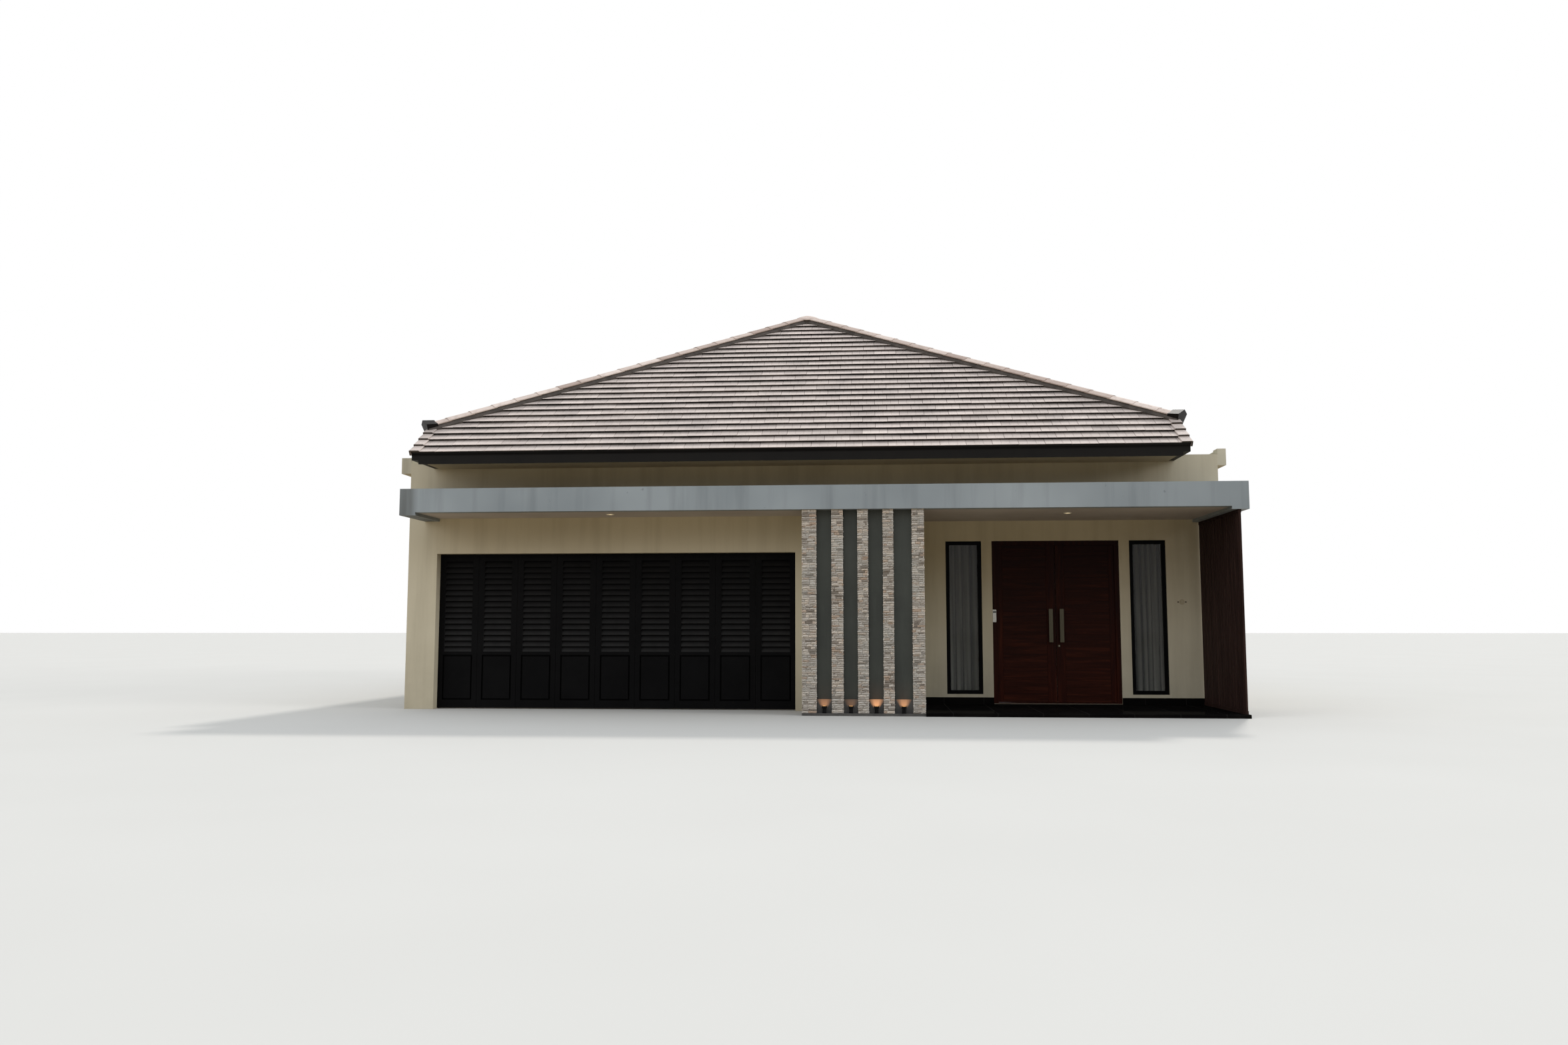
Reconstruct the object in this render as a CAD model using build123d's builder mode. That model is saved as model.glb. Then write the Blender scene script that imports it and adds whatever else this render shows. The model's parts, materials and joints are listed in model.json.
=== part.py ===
from build123d import *
from math import atan, cos, radians, sin, tan
import os

# Detached single-storey house with a hip roof, a garage bay, a recessed porch and a deep canopy.
# Millimetres, +Z up. The origin is on the ground at the middle of the roof's plan,
# +X runs to the right along the front and the front faces -Y.

# Clearance between pieces that rest on each other
SEAT = 0.3

# Plan: widths along the front from left to right, and depths
LEFT_PIER = 440
GARAGE_WIDTH = 5400
FEATURE_OFFSET = 150
PORCH_LEFT_MARGIN = 410
WINDOW_WIDTH = 545
DOOR_LEFT_MARGIN = 158
DOOR_WIDTH = 1915
DOOR_RIGHT_MARGIN = 155
PORCH_RIGHT_MARGIN = 520
HOUSE_DEPTH = 12000
WALL = 200
PORCH_RECESS = 1000

# Levels
GARAGE_FLOOR_TOP = 20
HOUSE_FLOOR_TOP = 55
PORCH_STEP_TOP = 50
CANOPY_SOFFIT = 2840
CANOPY_SLAB_DEPTH = 120
LEDGE = CANOPY_SOFFIT + CANOPY_SLAB_DEPTH
WALL_TOP = 3450
CEILING_DEPTH = 120
PARAPET_TOP = 3690

# Garage bay with its folding door
GARAGE_HEAD = 2310
DOOR_SETBACK = 150
LEAF_COUNT = 9
LEAF_GAP = 4
LEAF_DEPTH = 40
LEAF_FLOOR_GAP = 15
TRACK_DEPTH = 30
LEAF_STILE = 88
LOUVRE_BOTTOM = 846
LOUVRE_TOP = 2202
LOUVRE_COUNT = 16
SLAT_THICKNESS = 7
SLAT_LAP = 8
SLAT_INSET = 2
PANEL_BOTTOM = 130
PANEL_TOP = 798
PANEL_STILE = 73
PANEL_GROOVE = 16
PANEL_SINK = 16
PANEL_BEVEL = 20

# Feature wall: stone fins with dark panels between them, both from left to right
FIN_WIDTHS = (204, 165, 151, 150, 172)
PANEL_WIDTHS = (206, 195, 199, 250)
FEATURE_PROJECTION = 800
FEATURE_WALL = 150
FIN_DEPTH = 130
PLINTH_HEIGHT = 35
PLINTH_PROUD = 6
KERB_TOP = 220
KERB_DEPTH = 50
LIGHT_RADIUS = 32
LIGHT_HEIGHT = 100
LIGHT_SETBACK = 38

# Canopy
CANOPY_LEFT_INSET = 235
CANOPY_RIGHT_REACH = 120
CANOPY_PROJECTION = 950
BEAM_TOP = 3180
FRONT_BEAM = 150
SIDE_BEAM = 230
SIDE_BEAM_DROP = 42
DOWNLIGHT_RADIUS = 60
DOWNLIGHT_DEPTH = 12
GARAGE_LIGHT_SHIFT = 50
GARAGE_LIGHT_REACH = 500
PORCH_LIGHT_REACH = 200

# Porch
STEP_PROJECTION = 1000
STEP_SIDE_REACH = 30
STEP_NOSE = 12
SKIRTING_TOP = 150
SKIRTING_DEPTH = 12
SCREEN_SETBACK = 25
SCREEN_DEPTH = 40
SLAT_WIDTH = 60
SLAT_SPACE = 22
SCREEN_RAIL = 45
SLAT_REVEAL = 6

# Double door in the porch wall
DOOR_HEAD = 2530
FRAME_FACE = 58
FRAME_SETBACK = 20
STOP_FACE = 12
STOP_DEPTH = 30
THRESHOLD_HEIGHT = 20
LEAF_CLEARANCE = 5
MEETING_GAP = 8
DOOR_THICKNESS = 45
HINGE_HEIGHTS = (300, 1250, 2200)
HINGE_LENGTH = 100
HINGE_PIN = 6
HINGE_BARREL = 11
HINGE_PLAY = 0.4
HINGE_KNUCKLE = 20
HINGE_PLATE = 40
HINGE_PLATE_THICKNESS = 4
HANDLE_WIDTH = 60
HANDLE_BOTTOM = 983
HANDLE_TOP = 1489
HANDLE_INSET = 82
HANDLE_STANDOFF = 45
HANDLE_THICKNESS = 12
HANDLE_CORNER = 6
HANDLE_POST = 11
HANDLE_POST_INSET = 80
KEYPAD_INSET = 2
KEYPAD_WIDTH = 54
KEYPAD_BOTTOM = 1287
KEYPAD_TOP = 1480
KEYPAD_DEPTH = 16

# Tall windows
SILL = 198
WINDOW_HEAD = 2530
WINDOW_BAR = 38
WINDOW_DEPTH = 60
WINDOW_SETBACK = 30
GLASS = 8
SIDE_WINDOW_MARGIN = 2600
LEFT_WINDOW_START = 6300
REAR_WINDOW_MARGIN = 1600
RIGHT_WINDOW_COUNT = 3
LEFT_WINDOW_COUNT = 2
REAR_WINDOW_COUNT = 4
CURTAIN_DEPTH = 50
CURTAIN_GAP = 25
CURTAIN_HEM = 90
CURTAIN_SPREAD = 60
RAIL_RISE = 40
RAIL_HEIGHT = 25

# Roof
ROOF_LEFT_INSET = 360
ROOF_RIGHT_INSET = 610
EAVE_PROJECTION = 900
EAVE_LEVEL = 3700
FRONT_PITCH = 35.15
SIDE_EAVE_LEVEL = 4180
RIDGE_SETBACK = 3350
COURSE = 203
TILE_LIP = 28
DECK = 40
CAP_WING = 125
CAP_THICKNESS = 22
CAP_CHAMFER = 30
CAP_BED = 43
BED_SETBACK = 18
HIP_OVERHANG = 60
VERGE_WIDTH = 130
FASCIA_BOTTOM = 3545
FASCIA_THICKNESS = 25
FASCIA_INSET = 30
SIDE_FASCIA_HEIGHT = 130
SIDE_FASCIA_INSET = 30
VERGE_BOARD = 100
SOFFIT_LEVEL = 3590
SOFFIT_THICKNESS = 12
SIDE_OVERHANG = 230
UPSTAND = 150
GUTTER_LEFT_REACH = 150
GUTTER_RIGHT_REACH = 120
GUTTER_LIP = 80
GUTTER_LIP_TOP = 3770
GUTTER_FLOOR = 150
GUTTER_NOSE_RISE = 80

# Places along the front, with the middle of the roof at zero
FEATURE_WIDTH = sum(FIN_WIDTHS) + sum(PANEL_WIDTHS)
PORCH_WIDTH = (
    PORCH_LEFT_MARGIN + WINDOW_WIDTH + DOOR_LEFT_MARGIN + DOOR_WIDTH + DOOR_RIGHT_MARGIN + WINDOW_WIDTH
    + PORCH_RIGHT_MARGIN
)
BODY_WIDTH = LEFT_PIER + GARAGE_WIDTH + FEATURE_OFFSET + FEATURE_WIDTH + PORCH_WIDTH
ROOF_HALF_WIDTH = (BODY_WIDTH - ROOF_LEFT_INSET - ROOF_RIGHT_INSET) / 2
BODY_LEFT = -ROOF_HALF_WIDTH - ROOF_LEFT_INSET
BODY_RIGHT = ROOF_HALF_WIDTH + ROOF_RIGHT_INSET
GARAGE_LEFT = BODY_LEFT + LEFT_PIER
GARAGE_RIGHT = GARAGE_LEFT + GARAGE_WIDTH
FEATURE_LEFT = GARAGE_RIGHT + FEATURE_OFFSET
FEATURE_RIGHT = FEATURE_LEFT + FEATURE_WIDTH
FLOOR_JOINT = FEATURE_LEFT + FEATURE_WALL
DOOR_LEFT = FEATURE_RIGHT + PORCH_LEFT_MARGIN + WINDOW_WIDTH + DOOR_LEFT_MARGIN
DOOR_RIGHT = DOOR_LEFT + DOOR_WIDTH
DOOR_CENTRE = (DOOR_LEFT + DOOR_RIGHT) / 2
PORCH_WINDOW_LEFTS = (FEATURE_RIGHT + PORCH_LEFT_MARGIN, DOOR_RIGHT + DOOR_RIGHT_MARGIN)
CANOPY_LEFT = BODY_LEFT + CANOPY_LEFT_INSET
CANOPY_RIGHT = BODY_RIGHT + CANOPY_RIGHT_REACH
STEP_RIGHT = BODY_RIGHT + STEP_SIDE_REACH
SCREEN_LEFT = BODY_RIGHT - SCREEN_SETBACK
GUTTER_LEFT = BODY_LEFT - GUTTER_LEFT_REACH
GUTTER_RIGHT = BODY_RIGHT + GUTTER_RIGHT_REACH
UPSTAND_OUTER = ROOF_HALF_WIDTH - SIDE_OVERHANG

# Places from front to rear
FRONT = -HOUSE_DEPTH / 2
REAR = HOUSE_DEPTH / 2
PORCH_BACK = FRONT + PORCH_RECESS
PORCH_INNER = PORCH_BACK + WALL
FEATURE_FACE = FRONT - FEATURE_PROJECTION
FIN_FACE = FEATURE_FACE - FIN_DEPTH
CANOPY_FACE = FRONT - CANOPY_PROJECTION
STEP_FRONT = FRONT - STEP_PROJECTION
EAVE_TIP = FRONT - EAVE_PROJECTION
RIDGE_START = FRONT + RIDGE_SETBACK
GARAGE_LIGHT = (GARAGE_LEFT + GARAGE_WIDTH / 2 + GARAGE_LIGHT_SHIFT, FRONT - GARAGE_LIGHT_REACH)
PORCH_LIGHT = (DOOR_CENTRE, FRONT - PORCH_LIGHT_REACH)

# Other values that follow from the sizes above
FRONT_TAN = tan(radians(FRONT_PITCH))
RIDGE_LEVEL = EAVE_LEVEL + (RIDGE_START - EAVE_TIP) * FRONT_TAN
SIDE_TAN = (RIDGE_LEVEL - SIDE_EAVE_LEVEL) / ROOF_HALF_WIDTH
HIP_FOOT = EAVE_TIP + (SIDE_EAVE_LEVEL - EAVE_LEVEL) / FRONT_TAN
LEAF_PITCH = GARAGE_WIDTH / LEAF_COUNT
LEAF_TOP = GARAGE_HEAD - TRACK_DEPTH
DOOR_FACE = PORCH_BACK + FRAME_SETBACK + STOP_DEPTH
DOOR_BACK = DOOR_FACE + DOOR_THICKNESS
FRAME_DEPTH = STOP_DEPTH + DOOR_THICKNESS
DOOR_SILL = PORCH_STEP_TOP + THRESHOLD_HEIGHT

os.makedirs("parts", exist_ok=True)


def save(piece, label):
    piece.part.label = label
    export_step(piece.part, f"parts/{label}.step")


def slab(label, x0, x1, y0, y1, z0, z1):
    """A plain slab or post between two corners."""
    with BuildPart() as piece:
        with BuildSketch(Plane.XY.offset(z0)):
            with Locations(((x0 + x1) / 2, (y0 + y1) / 2)):
                Rectangle(x1 - x0, y1 - y0)
        extrude(amount=z1 - z0)
    save(piece, label)


def front_plane(y):
    """Vertical plane facing the viewer of the front; what is extruded from it grows towards -Y."""
    return Plane.XZ.offset(-y)


def add_slab(x0, x1, y0, y1, z0, z1, mode=Mode.ADD):
    """Adds or cuts a slab in the part that is being built."""
    with BuildSketch(Plane.XY.offset(z0)) as outline:
        with Locations(((x0 + x1) / 2, (y0 + y1) / 2)):
            Rectangle(x1 - x0, y1 - y0)
    extrude(outline.sketch, amount=z1 - z0, mode=mode)


def fins():
    """Left and right edge of each stone fin."""
    edges = []
    left = FEATURE_LEFT
    for i, width in enumerate(FIN_WIDTHS):
        edges.append((left, left + width))
        if i < len(PANEL_WIDTHS):
            left += width + PANEL_WIDTHS[i]
    return edges


def recesses():
    """Left and right edge of each dark panel between two fins."""
    return [(left[1], right[0]) for left, right in zip(fins(), fins()[1:])]


def spread(start, end, count):
    """Left edges of windows spread evenly between two places."""
    pitch = (end - start - WINDOW_WIDTH) / (count - 1)
    return [start + i * pitch for i in range(count)]


def right_windows():
    return spread(FRONT + SIDE_WINDOW_MARGIN, REAR - SIDE_WINDOW_MARGIN, RIGHT_WINDOW_COUNT)


def left_windows():
    return spread(FRONT + LEFT_WINDOW_START, REAR - SIDE_WINDOW_MARGIN, LEFT_WINDOW_COUNT)


def rear_windows():
    return spread(BODY_LEFT + REAR_WINDOW_MARGIN, BODY_RIGHT - REAR_WINDOW_MARGIN, REAR_WINDOW_COUNT)


# Floors and walls


def build_floors():
    slab("garage_floor", BODY_LEFT + WALL, FLOOR_JOINT, FRONT + WALL, REAR - WALL, 0, GARAGE_FLOOR_TOP)
    with BuildPart() as floor:
        with BuildSketch():
            with BuildLine():
                Polyline(
                    (FLOOR_JOINT, FEATURE_FACE + WALL),
                    (FEATURE_RIGHT - FEATURE_WALL, FEATURE_FACE + WALL),
                    (FEATURE_RIGHT - FEATURE_WALL, PORCH_INNER),
                    (BODY_RIGHT - WALL, PORCH_INNER),
                    (BODY_RIGHT - WALL, REAR - WALL),
                    (FLOOR_JOINT, REAR - WALL),
                    close=True,
                )
            make_face()
        extrude(amount=HOUSE_FLOOR_TOP)
    save(floor, "house_floor")
    with BuildPart() as step:
        add_slab(FEATURE_RIGHT, STEP_RIGHT, STEP_FRONT, PORCH_BACK, 0, PORCH_STEP_TOP)
        fillet(step.edges().filter_by(Axis.X).group_by(Axis.Z)[-1].sort_by(Axis.Y)[0], STEP_NOSE)
    save(step, "porch_step")


def build_garage_walls():
    with BuildPart() as piers:
        for x0, x1 in ((BODY_LEFT, GARAGE_LEFT), (GARAGE_RIGHT, FLOOR_JOINT)):
            add_slab(x0, x1, FRONT, FRONT + WALL, 0, LEDGE)
    save(piers, "garage_piers")
    slab("garage_lintel", GARAGE_LEFT, GARAGE_RIGHT, FRONT, FRONT + WALL, GARAGE_HEAD, LEDGE)


def parapet_outline(bottom):
    """Outline of the front or rear wall above a level, with its middle raised to carry the roof."""
    right_half = (
        (UPSTAND_OUTER, PARAPET_TOP),
        (UPSTAND_OUTER, side_under(ROOF_HALF_WIDTH - UPSTAND_OUTER)),
        (ROOF_HALF_WIDTH * (RIDGE_START - FRONT) / (RIDGE_START - HIP_FOOT), front_under(FRONT)),
    )
    left_half = [(-x, z) for x, z in reversed(right_half)]
    return [
        (BODY_LEFT, bottom), (BODY_RIGHT, bottom), (BODY_RIGHT, PARAPET_TOP), *right_half, *left_half,
        (BODY_LEFT, PARAPET_TOP),
    ]


def build_upper_front_wall():
    with BuildPart() as wall:
        with BuildSketch(front_plane(FRONT + WALL)):
            with BuildLine():
                Polyline(*parapet_outline(LEDGE), close=True)
            make_face()
        extrude(amount=WALL)
    save(wall, "upper_front_wall")


def build_feature_walls():
    slab("feature_panel", FEATURE_LEFT, FEATURE_RIGHT, FEATURE_FACE, FEATURE_FACE + WALL, 0, CANOPY_SOFFIT)
    slab(
        "feature_return_left",
        FEATURE_LEFT, FEATURE_LEFT + FEATURE_WALL, FEATURE_FACE + WALL, FRONT, 0, CANOPY_SOFFIT,
    )
    with BuildPart() as side:
        with BuildSketch(Plane.YZ.offset(FEATURE_RIGHT - FEATURE_WALL)):
            with BuildLine():
                Polyline(
                    (FEATURE_FACE + WALL, 0), (PORCH_INNER, 0), (PORCH_INNER, WALL_TOP), (FRONT + WALL, WALL_TOP),
                    (FRONT + WALL, LEDGE), (FRONT, LEDGE), (FRONT, CANOPY_SOFFIT),
                    (FEATURE_FACE + WALL, CANOPY_SOFFIT),
                    close=True,
                )
            make_face()
        extrude(amount=FEATURE_WALL)
    save(side, "feature_return_right")


def wall_with_windows(plane, outline, windows):
    """A wall cut by windows whose left edges lie on the plane's own x axis."""
    with BuildPart() as wall:
        with BuildSketch(plane):
            with BuildLine():
                Polyline(*outline, close=True)
            make_face()
            for left in windows:
                with Locations((left + WINDOW_WIDTH / 2, (SILL + WINDOW_HEAD) / 2)):
                    Rectangle(WINDOW_WIDTH, WINDOW_HEAD - SILL, mode=Mode.SUBTRACT)
        extrude(amount=WALL)
    return wall


def rectangle_outline(a0, a1, b0, b1):
    return ((a0, b0), (a1, b0), (a1, b1), (a0, b1))


def build_porch_walls():
    plane = front_plane(PORCH_INNER)
    left = wall_with_windows(
        plane, rectangle_outline(FEATURE_RIGHT, DOOR_LEFT, 0, WALL_TOP), PORCH_WINDOW_LEFTS[:1]
    )
    save(left, "porch_wall_left")
    right = wall_with_windows(
        plane, rectangle_outline(DOOR_RIGHT, BODY_RIGHT - WALL, 0, WALL_TOP), PORCH_WINDOW_LEFTS[1:]
    )
    save(right, "porch_wall_right")
    slab("porch_wall_lintel", DOOR_LEFT, DOOR_RIGHT, PORCH_BACK, PORCH_INNER, DOOR_HEAD, WALL_TOP)
    with BuildPart() as skirting:
        for x0, x1 in ((FEATURE_RIGHT, DOOR_LEFT), (DOOR_RIGHT, BODY_RIGHT)):
            add_slab(x0, x1, PORCH_BACK - SKIRTING_DEPTH, PORCH_BACK, PORCH_STEP_TOP, SKIRTING_TOP)
    save(skirting, "porch_skirting")


def build_side_and_rear_walls():
    left = wall_with_windows(
        Plane.YZ.offset(BODY_LEFT),
        rectangle_outline(FRONT + WALL, REAR - WALL, 0, WALL_TOP),
        left_windows(),
    )
    save(left, "left_wall")
    right = wall_with_windows(
        Plane.YZ.offset(BODY_RIGHT - WALL),
        (
            (PORCH_BACK, 0), (REAR - WALL, 0), (REAR - WALL, WALL_TOP), (FRONT + WALL, WALL_TOP),
            (FRONT + WALL, LEDGE), (PORCH_BACK, LEDGE),
        ),
        right_windows(),
    )
    save(right, "right_wall")
    save(wall_with_windows(front_plane(REAR), parapet_outline(0), rear_windows()), "rear_wall")
    slab(
        "ceiling_slab",
        -UPSTAND_OUTER + UPSTAND, UPSTAND_OUTER - UPSTAND, FRONT + WALL, REAR - WALL,
        WALL_TOP, WALL_TOP + CEILING_DEPTH,
    )


# Stone fins, kerb and lights of the feature wall


def build_stone_fins():
    with BuildPart() as piers:
        for left, right in fins():
            add_slab(left, right, FIN_FACE, FEATURE_FACE, PLINTH_HEIGHT, CANOPY_SOFFIT)
    save(piers, "stone_fins")
    with BuildPart() as kerb:
        add_slab(FEATURE_LEFT, FEATURE_RIGHT, FIN_FACE - PLINTH_PROUD, FEATURE_FACE, 0, PLINTH_HEIGHT)
        for left, right in recesses():
            add_slab(left, right, FEATURE_FACE - KERB_DEPTH, FEATURE_FACE, PLINTH_HEIGHT, KERB_TOP)
    save(kerb, "niche_kerb")
    with BuildPart() as lights:
        for left, right in recesses():
            with BuildSketch(Plane.XY.offset(PLINTH_HEIGHT)):
                with Locations(((left + right) / 2, FIN_FACE + LIGHT_SETBACK)):
                    Circle(LIGHT_RADIUS)
            extrude(amount=LIGHT_HEIGHT)
    save(lights, "niche_lights")


# Canopy over the garage door and the porch


def build_canopy():
    inner_left = CANOPY_LEFT + SIDE_BEAM
    inner_right = CANOPY_RIGHT - SIDE_BEAM
    with BuildPart() as canopy:
        add_slab(inner_left, inner_right, CANOPY_FACE + FRONT_BEAM, FRONT, CANOPY_SOFFIT, LEDGE)
        add_slab(FEATURE_RIGHT, inner_right, FRONT, PORCH_BACK, CANOPY_SOFFIT, LEDGE)
        add_slab(inner_right, BODY_RIGHT, FRONT, PORCH_BACK, CANOPY_SOFFIT, LEDGE)
    save(canopy, "canopy_slab")
    slab(
        "canopy_front_beam",
        inner_left, inner_right, CANOPY_FACE, CANOPY_FACE + FRONT_BEAM, CANOPY_SOFFIT, BEAM_TOP,
    )
    with BuildPart() as sides:
        for x in (CANOPY_LEFT, inner_right):
            add_slab(x, x + SIDE_BEAM, CANOPY_FACE, FRONT, CANOPY_SOFFIT - SIDE_BEAM_DROP, BEAM_TOP)
        add_slab(inner_right, BODY_RIGHT, FRONT, PORCH_BACK, CANOPY_SOFFIT - SIDE_BEAM_DROP, CANOPY_SOFFIT)
    save(sides, "canopy_side_beams")
    with BuildPart() as lights:
        for place in (GARAGE_LIGHT, PORCH_LIGHT):
            with BuildSketch(Plane.XY.offset(CANOPY_SOFFIT - DOWNLIGHT_DEPTH)):
                with Locations(place):
                    Circle(DOWNLIGHT_RADIUS)
            extrude(amount=DOWNLIGHT_DEPTH)
    save(lights, "ceiling_lights")


def build_screen():
    """Vertical boards between two rails, closing the right side of the porch."""
    bottom = PORCH_STEP_TOP
    top = CANOPY_SOFFIT - SIDE_BEAM_DROP
    start = FIN_FACE
    end = PORCH_BACK - SKIRTING_DEPTH
    count = int((end - start + SLAT_SPACE) // (SLAT_WIDTH + SLAT_SPACE))
    pitch = (end - start - SLAT_WIDTH) / (count - 1)
    with BuildPart() as screen:
        for z in (bottom, top - SCREEN_RAIL):
            add_slab(SCREEN_LEFT, SCREEN_LEFT + SCREEN_DEPTH, start, end, z, z + SCREEN_RAIL)
        for i in range(count):
            y = start + i * pitch
            add_slab(
                SCREEN_LEFT + SLAT_REVEAL, SCREEN_LEFT + SCREEN_DEPTH - SLAT_REVEAL,
                y, y + SLAT_WIDTH, bottom, top,
            )
    save(screen, "porch_screen")


# Folding garage door


def build_garage_leaf():
    """One leaf at the left end: louvres between stiles above, a bevelled panel in a groove below."""
    face = FRONT + DOOR_SETBACK
    left = GARAGE_LEFT + LEAF_GAP / 2
    right = left + LEAF_PITCH - LEAF_GAP
    middle = (left + right) / 2
    inner = LEAF_PITCH - LEAF_GAP - 2 * LEAF_STILE
    panel_width = LEAF_PITCH - LEAF_GAP - 2 * PANEL_STILE
    panel_height = PANEL_TOP - PANEL_BOTTOM
    panel_at = (middle, (PANEL_BOTTOM + PANEL_TOP) / 2)
    louvre_pitch = (LOUVRE_TOP - LOUVRE_BOTTOM) / LOUVRE_COUNT
    slat_height = louvre_pitch + SLAT_LAP
    slat_back = LEAF_DEPTH - 2 * SLAT_INSET - SLAT_THICKNESS
    with BuildPart() as leaf:
        with BuildSketch(front_plane(face + LEAF_DEPTH)):
            with BuildLine():
                Polyline(*rectangle_outline(left, right, LEAF_FLOOR_GAP, LEAF_TOP), close=True)
            make_face()
            with Locations((middle, (LOUVRE_BOTTOM + LOUVRE_TOP) / 2)):
                Rectangle(inner, LOUVRE_TOP - LOUVRE_BOTTOM, mode=Mode.SUBTRACT)
        extrude(amount=LEAF_DEPTH)
        with BuildSketch(front_plane(face)):
            with Locations(panel_at):
                Rectangle(panel_width, panel_height)
        extrude(amount=-PANEL_SINK, mode=Mode.SUBTRACT)
        with BuildSketch(front_plane(face + PANEL_SINK)):
            with Locations(panel_at):
                Rectangle(panel_width - 2 * PANEL_GROOVE, panel_height - 2 * PANEL_GROOVE)
        extrude(amount=PANEL_SINK, taper=PANEL_BEVEL)
        with BuildSketch(Plane.YZ.offset(left + LEAF_STILE)):
            for k in range(LOUVRE_COUNT):
                y = face + SLAT_INSET
                z = LOUVRE_BOTTOM + k * louvre_pitch - SLAT_LAP / 2
                with BuildLine():
                    Polyline(
                        (y, z), (y + SLAT_THICKNESS, z),
                        (y + slat_back + SLAT_THICKNESS, z + slat_height), (y + slat_back, z + slat_height),
                        close=True,
                    )
                make_face()
        extrude(amount=inner)
    return leaf.part


def build_garage_door():
    leaf = build_garage_leaf()
    with BuildPart() as leaves:
        with Locations(*[(i * LEAF_PITCH, 0, 0) for i in range(LEAF_COUNT)]):
            add(leaf)
    save(leaves, "garage_door_leaves")
    face = FRONT + DOOR_SETBACK
    slab(
        "garage_door_track",
        GARAGE_LEFT, GARAGE_RIGHT, face, face + LEAF_DEPTH, LEAF_TOP, GARAGE_HEAD,
    )


# Double door


def hinge_axis(side):
    """Plan position of the hinge pins of the left (-1) or right (+1) leaf."""
    edge = DOOR_LEFT + FRAME_FACE if side < 0 else DOOR_RIGHT - FRAME_FACE
    return edge - side * LEAF_CLEARANCE / 2, DOOR_BACK + HINGE_BARREL + HINGE_PLAY


def build_door_frame():
    front = PORCH_BACK + FRAME_SETBACK
    with BuildPart() as frame:
        with BuildSketch(front_plane(front + FRAME_DEPTH)):
            with BuildLine():
                Polyline(*rectangle_outline(DOOR_LEFT, DOOR_RIGHT, PORCH_STEP_TOP, DOOR_HEAD), close=True)
            make_face()
            with BuildLine():
                Polyline(
                    *rectangle_outline(
                        DOOR_LEFT + FRAME_FACE, DOOR_RIGHT - FRAME_FACE, DOOR_SILL, DOOR_HEAD - FRAME_FACE
                    ),
                    close=True,
                )
            make_face(mode=Mode.SUBTRACT)
        extrude(amount=FRAME_DEPTH)
        inner_left = DOOR_LEFT + FRAME_FACE
        inner_right = DOOR_RIGHT - FRAME_FACE
        head = DOOR_HEAD - FRAME_FACE
        stop_back = DOOR_FACE - LEAF_CLEARANCE
        add_slab(inner_left, inner_left + STOP_FACE, front, stop_back, DOOR_SILL, head)
        add_slab(inner_right - STOP_FACE, inner_right, front, stop_back, DOOR_SILL, head)
        add_slab(inner_left, inner_right, front, stop_back, head - STOP_FACE, head)
        for side in (-1, 1):
            x, y = hinge_axis(side)
            for z in HINGE_HEIGHTS:
                with BuildSketch(Plane.XY.offset(z)):
                    with Locations((x, y)):
                        Circle(HINGE_PIN)
                extrude(amount=HINGE_LENGTH)
                with BuildSketch(Plane.XY.offset(z - HINGE_KNUCKLE)):
                    with Locations((x, y)):
                        Circle(HINGE_BARREL)
                    with Locations((x + side * HINGE_PLATE / 2, DOOR_BACK + HINGE_PLATE_THICKNESS / 2)):
                        Rectangle(HINGE_PLATE, HINGE_PLATE_THICKNESS)
                extrude(amount=HINGE_KNUCKLE)
    save(frame, "door_frame")


def build_door_leaf(side, label):
    meeting = DOOR_CENTRE + side * MEETING_GAP / 2
    edge = (DOOR_LEFT + FRAME_FACE if side < 0 else DOOR_RIGHT - FRAME_FACE) - side * LEAF_CLEARANCE
    x0, x1 = min(meeting, edge), max(meeting, edge)
    bottom = DOOR_SILL + LEAF_CLEARANCE
    top = DOOR_HEAD - FRAME_FACE - LEAF_CLEARANCE
    x, y = hinge_axis(side)
    with BuildPart() as leaf:
        add_slab(x0, x1, DOOR_FACE, DOOR_BACK, bottom, top)
        for z in HINGE_HEIGHTS:
            with BuildSketch(Plane.XY.offset(z + SEAT)):
                with Locations((x, y)):
                    Circle(HINGE_BARREL)
                with Locations((x - side * HINGE_PLATE / 2, DOOR_BACK + HINGE_PLATE_THICKNESS / 2)):
                    Rectangle(HINGE_PLATE, HINGE_PLATE_THICKNESS)
                with Locations((x, y)):
                    Circle(HINGE_PIN + HINGE_PLAY, mode=Mode.SUBTRACT)
            extrude(amount=HINGE_LENGTH)
    save(leaf, label)


def build_handle(side, label):
    """A flat upright bar on two posts, near the leaf's meeting edge."""
    centre = DOOR_CENTRE + side * HANDLE_INSET
    back = DOOR_FACE
    bar_back = back - HANDLE_STANDOFF
    with BuildPart() as handle:
        with BuildSketch(front_plane(bar_back)):
            with Locations((centre, (HANDLE_BOTTOM + HANDLE_TOP) / 2)):
                RectangleRounded(HANDLE_WIDTH, HANDLE_TOP - HANDLE_BOTTOM, HANDLE_CORNER)
        extrude(amount=HANDLE_THICKNESS)
        with BuildSketch(front_plane(back)):
            with Locations((centre, HANDLE_BOTTOM + HANDLE_POST_INSET), (centre, HANDLE_TOP - HANDLE_POST_INSET)):
                Circle(HANDLE_POST)
        extrude(amount=HANDLE_STANDOFF)
    save(handle, label)


def build_entrance():
    build_door_frame()
    build_door_leaf(-1, "left_door_leaf")
    build_door_leaf(1, "right_door_leaf")
    build_handle(-1, "left_door_handle")
    build_handle(1, "right_door_handle")
    left = DOOR_LEFT + KEYPAD_INSET
    back = PORCH_BACK + FRAME_SETBACK
    slab("door_keypad", left, left + KEYPAD_WIDTH, back - KEYPAD_DEPTH, back, KEYPAD_BOTTOM, KEYPAD_TOP)


# Windows and curtains


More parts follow.
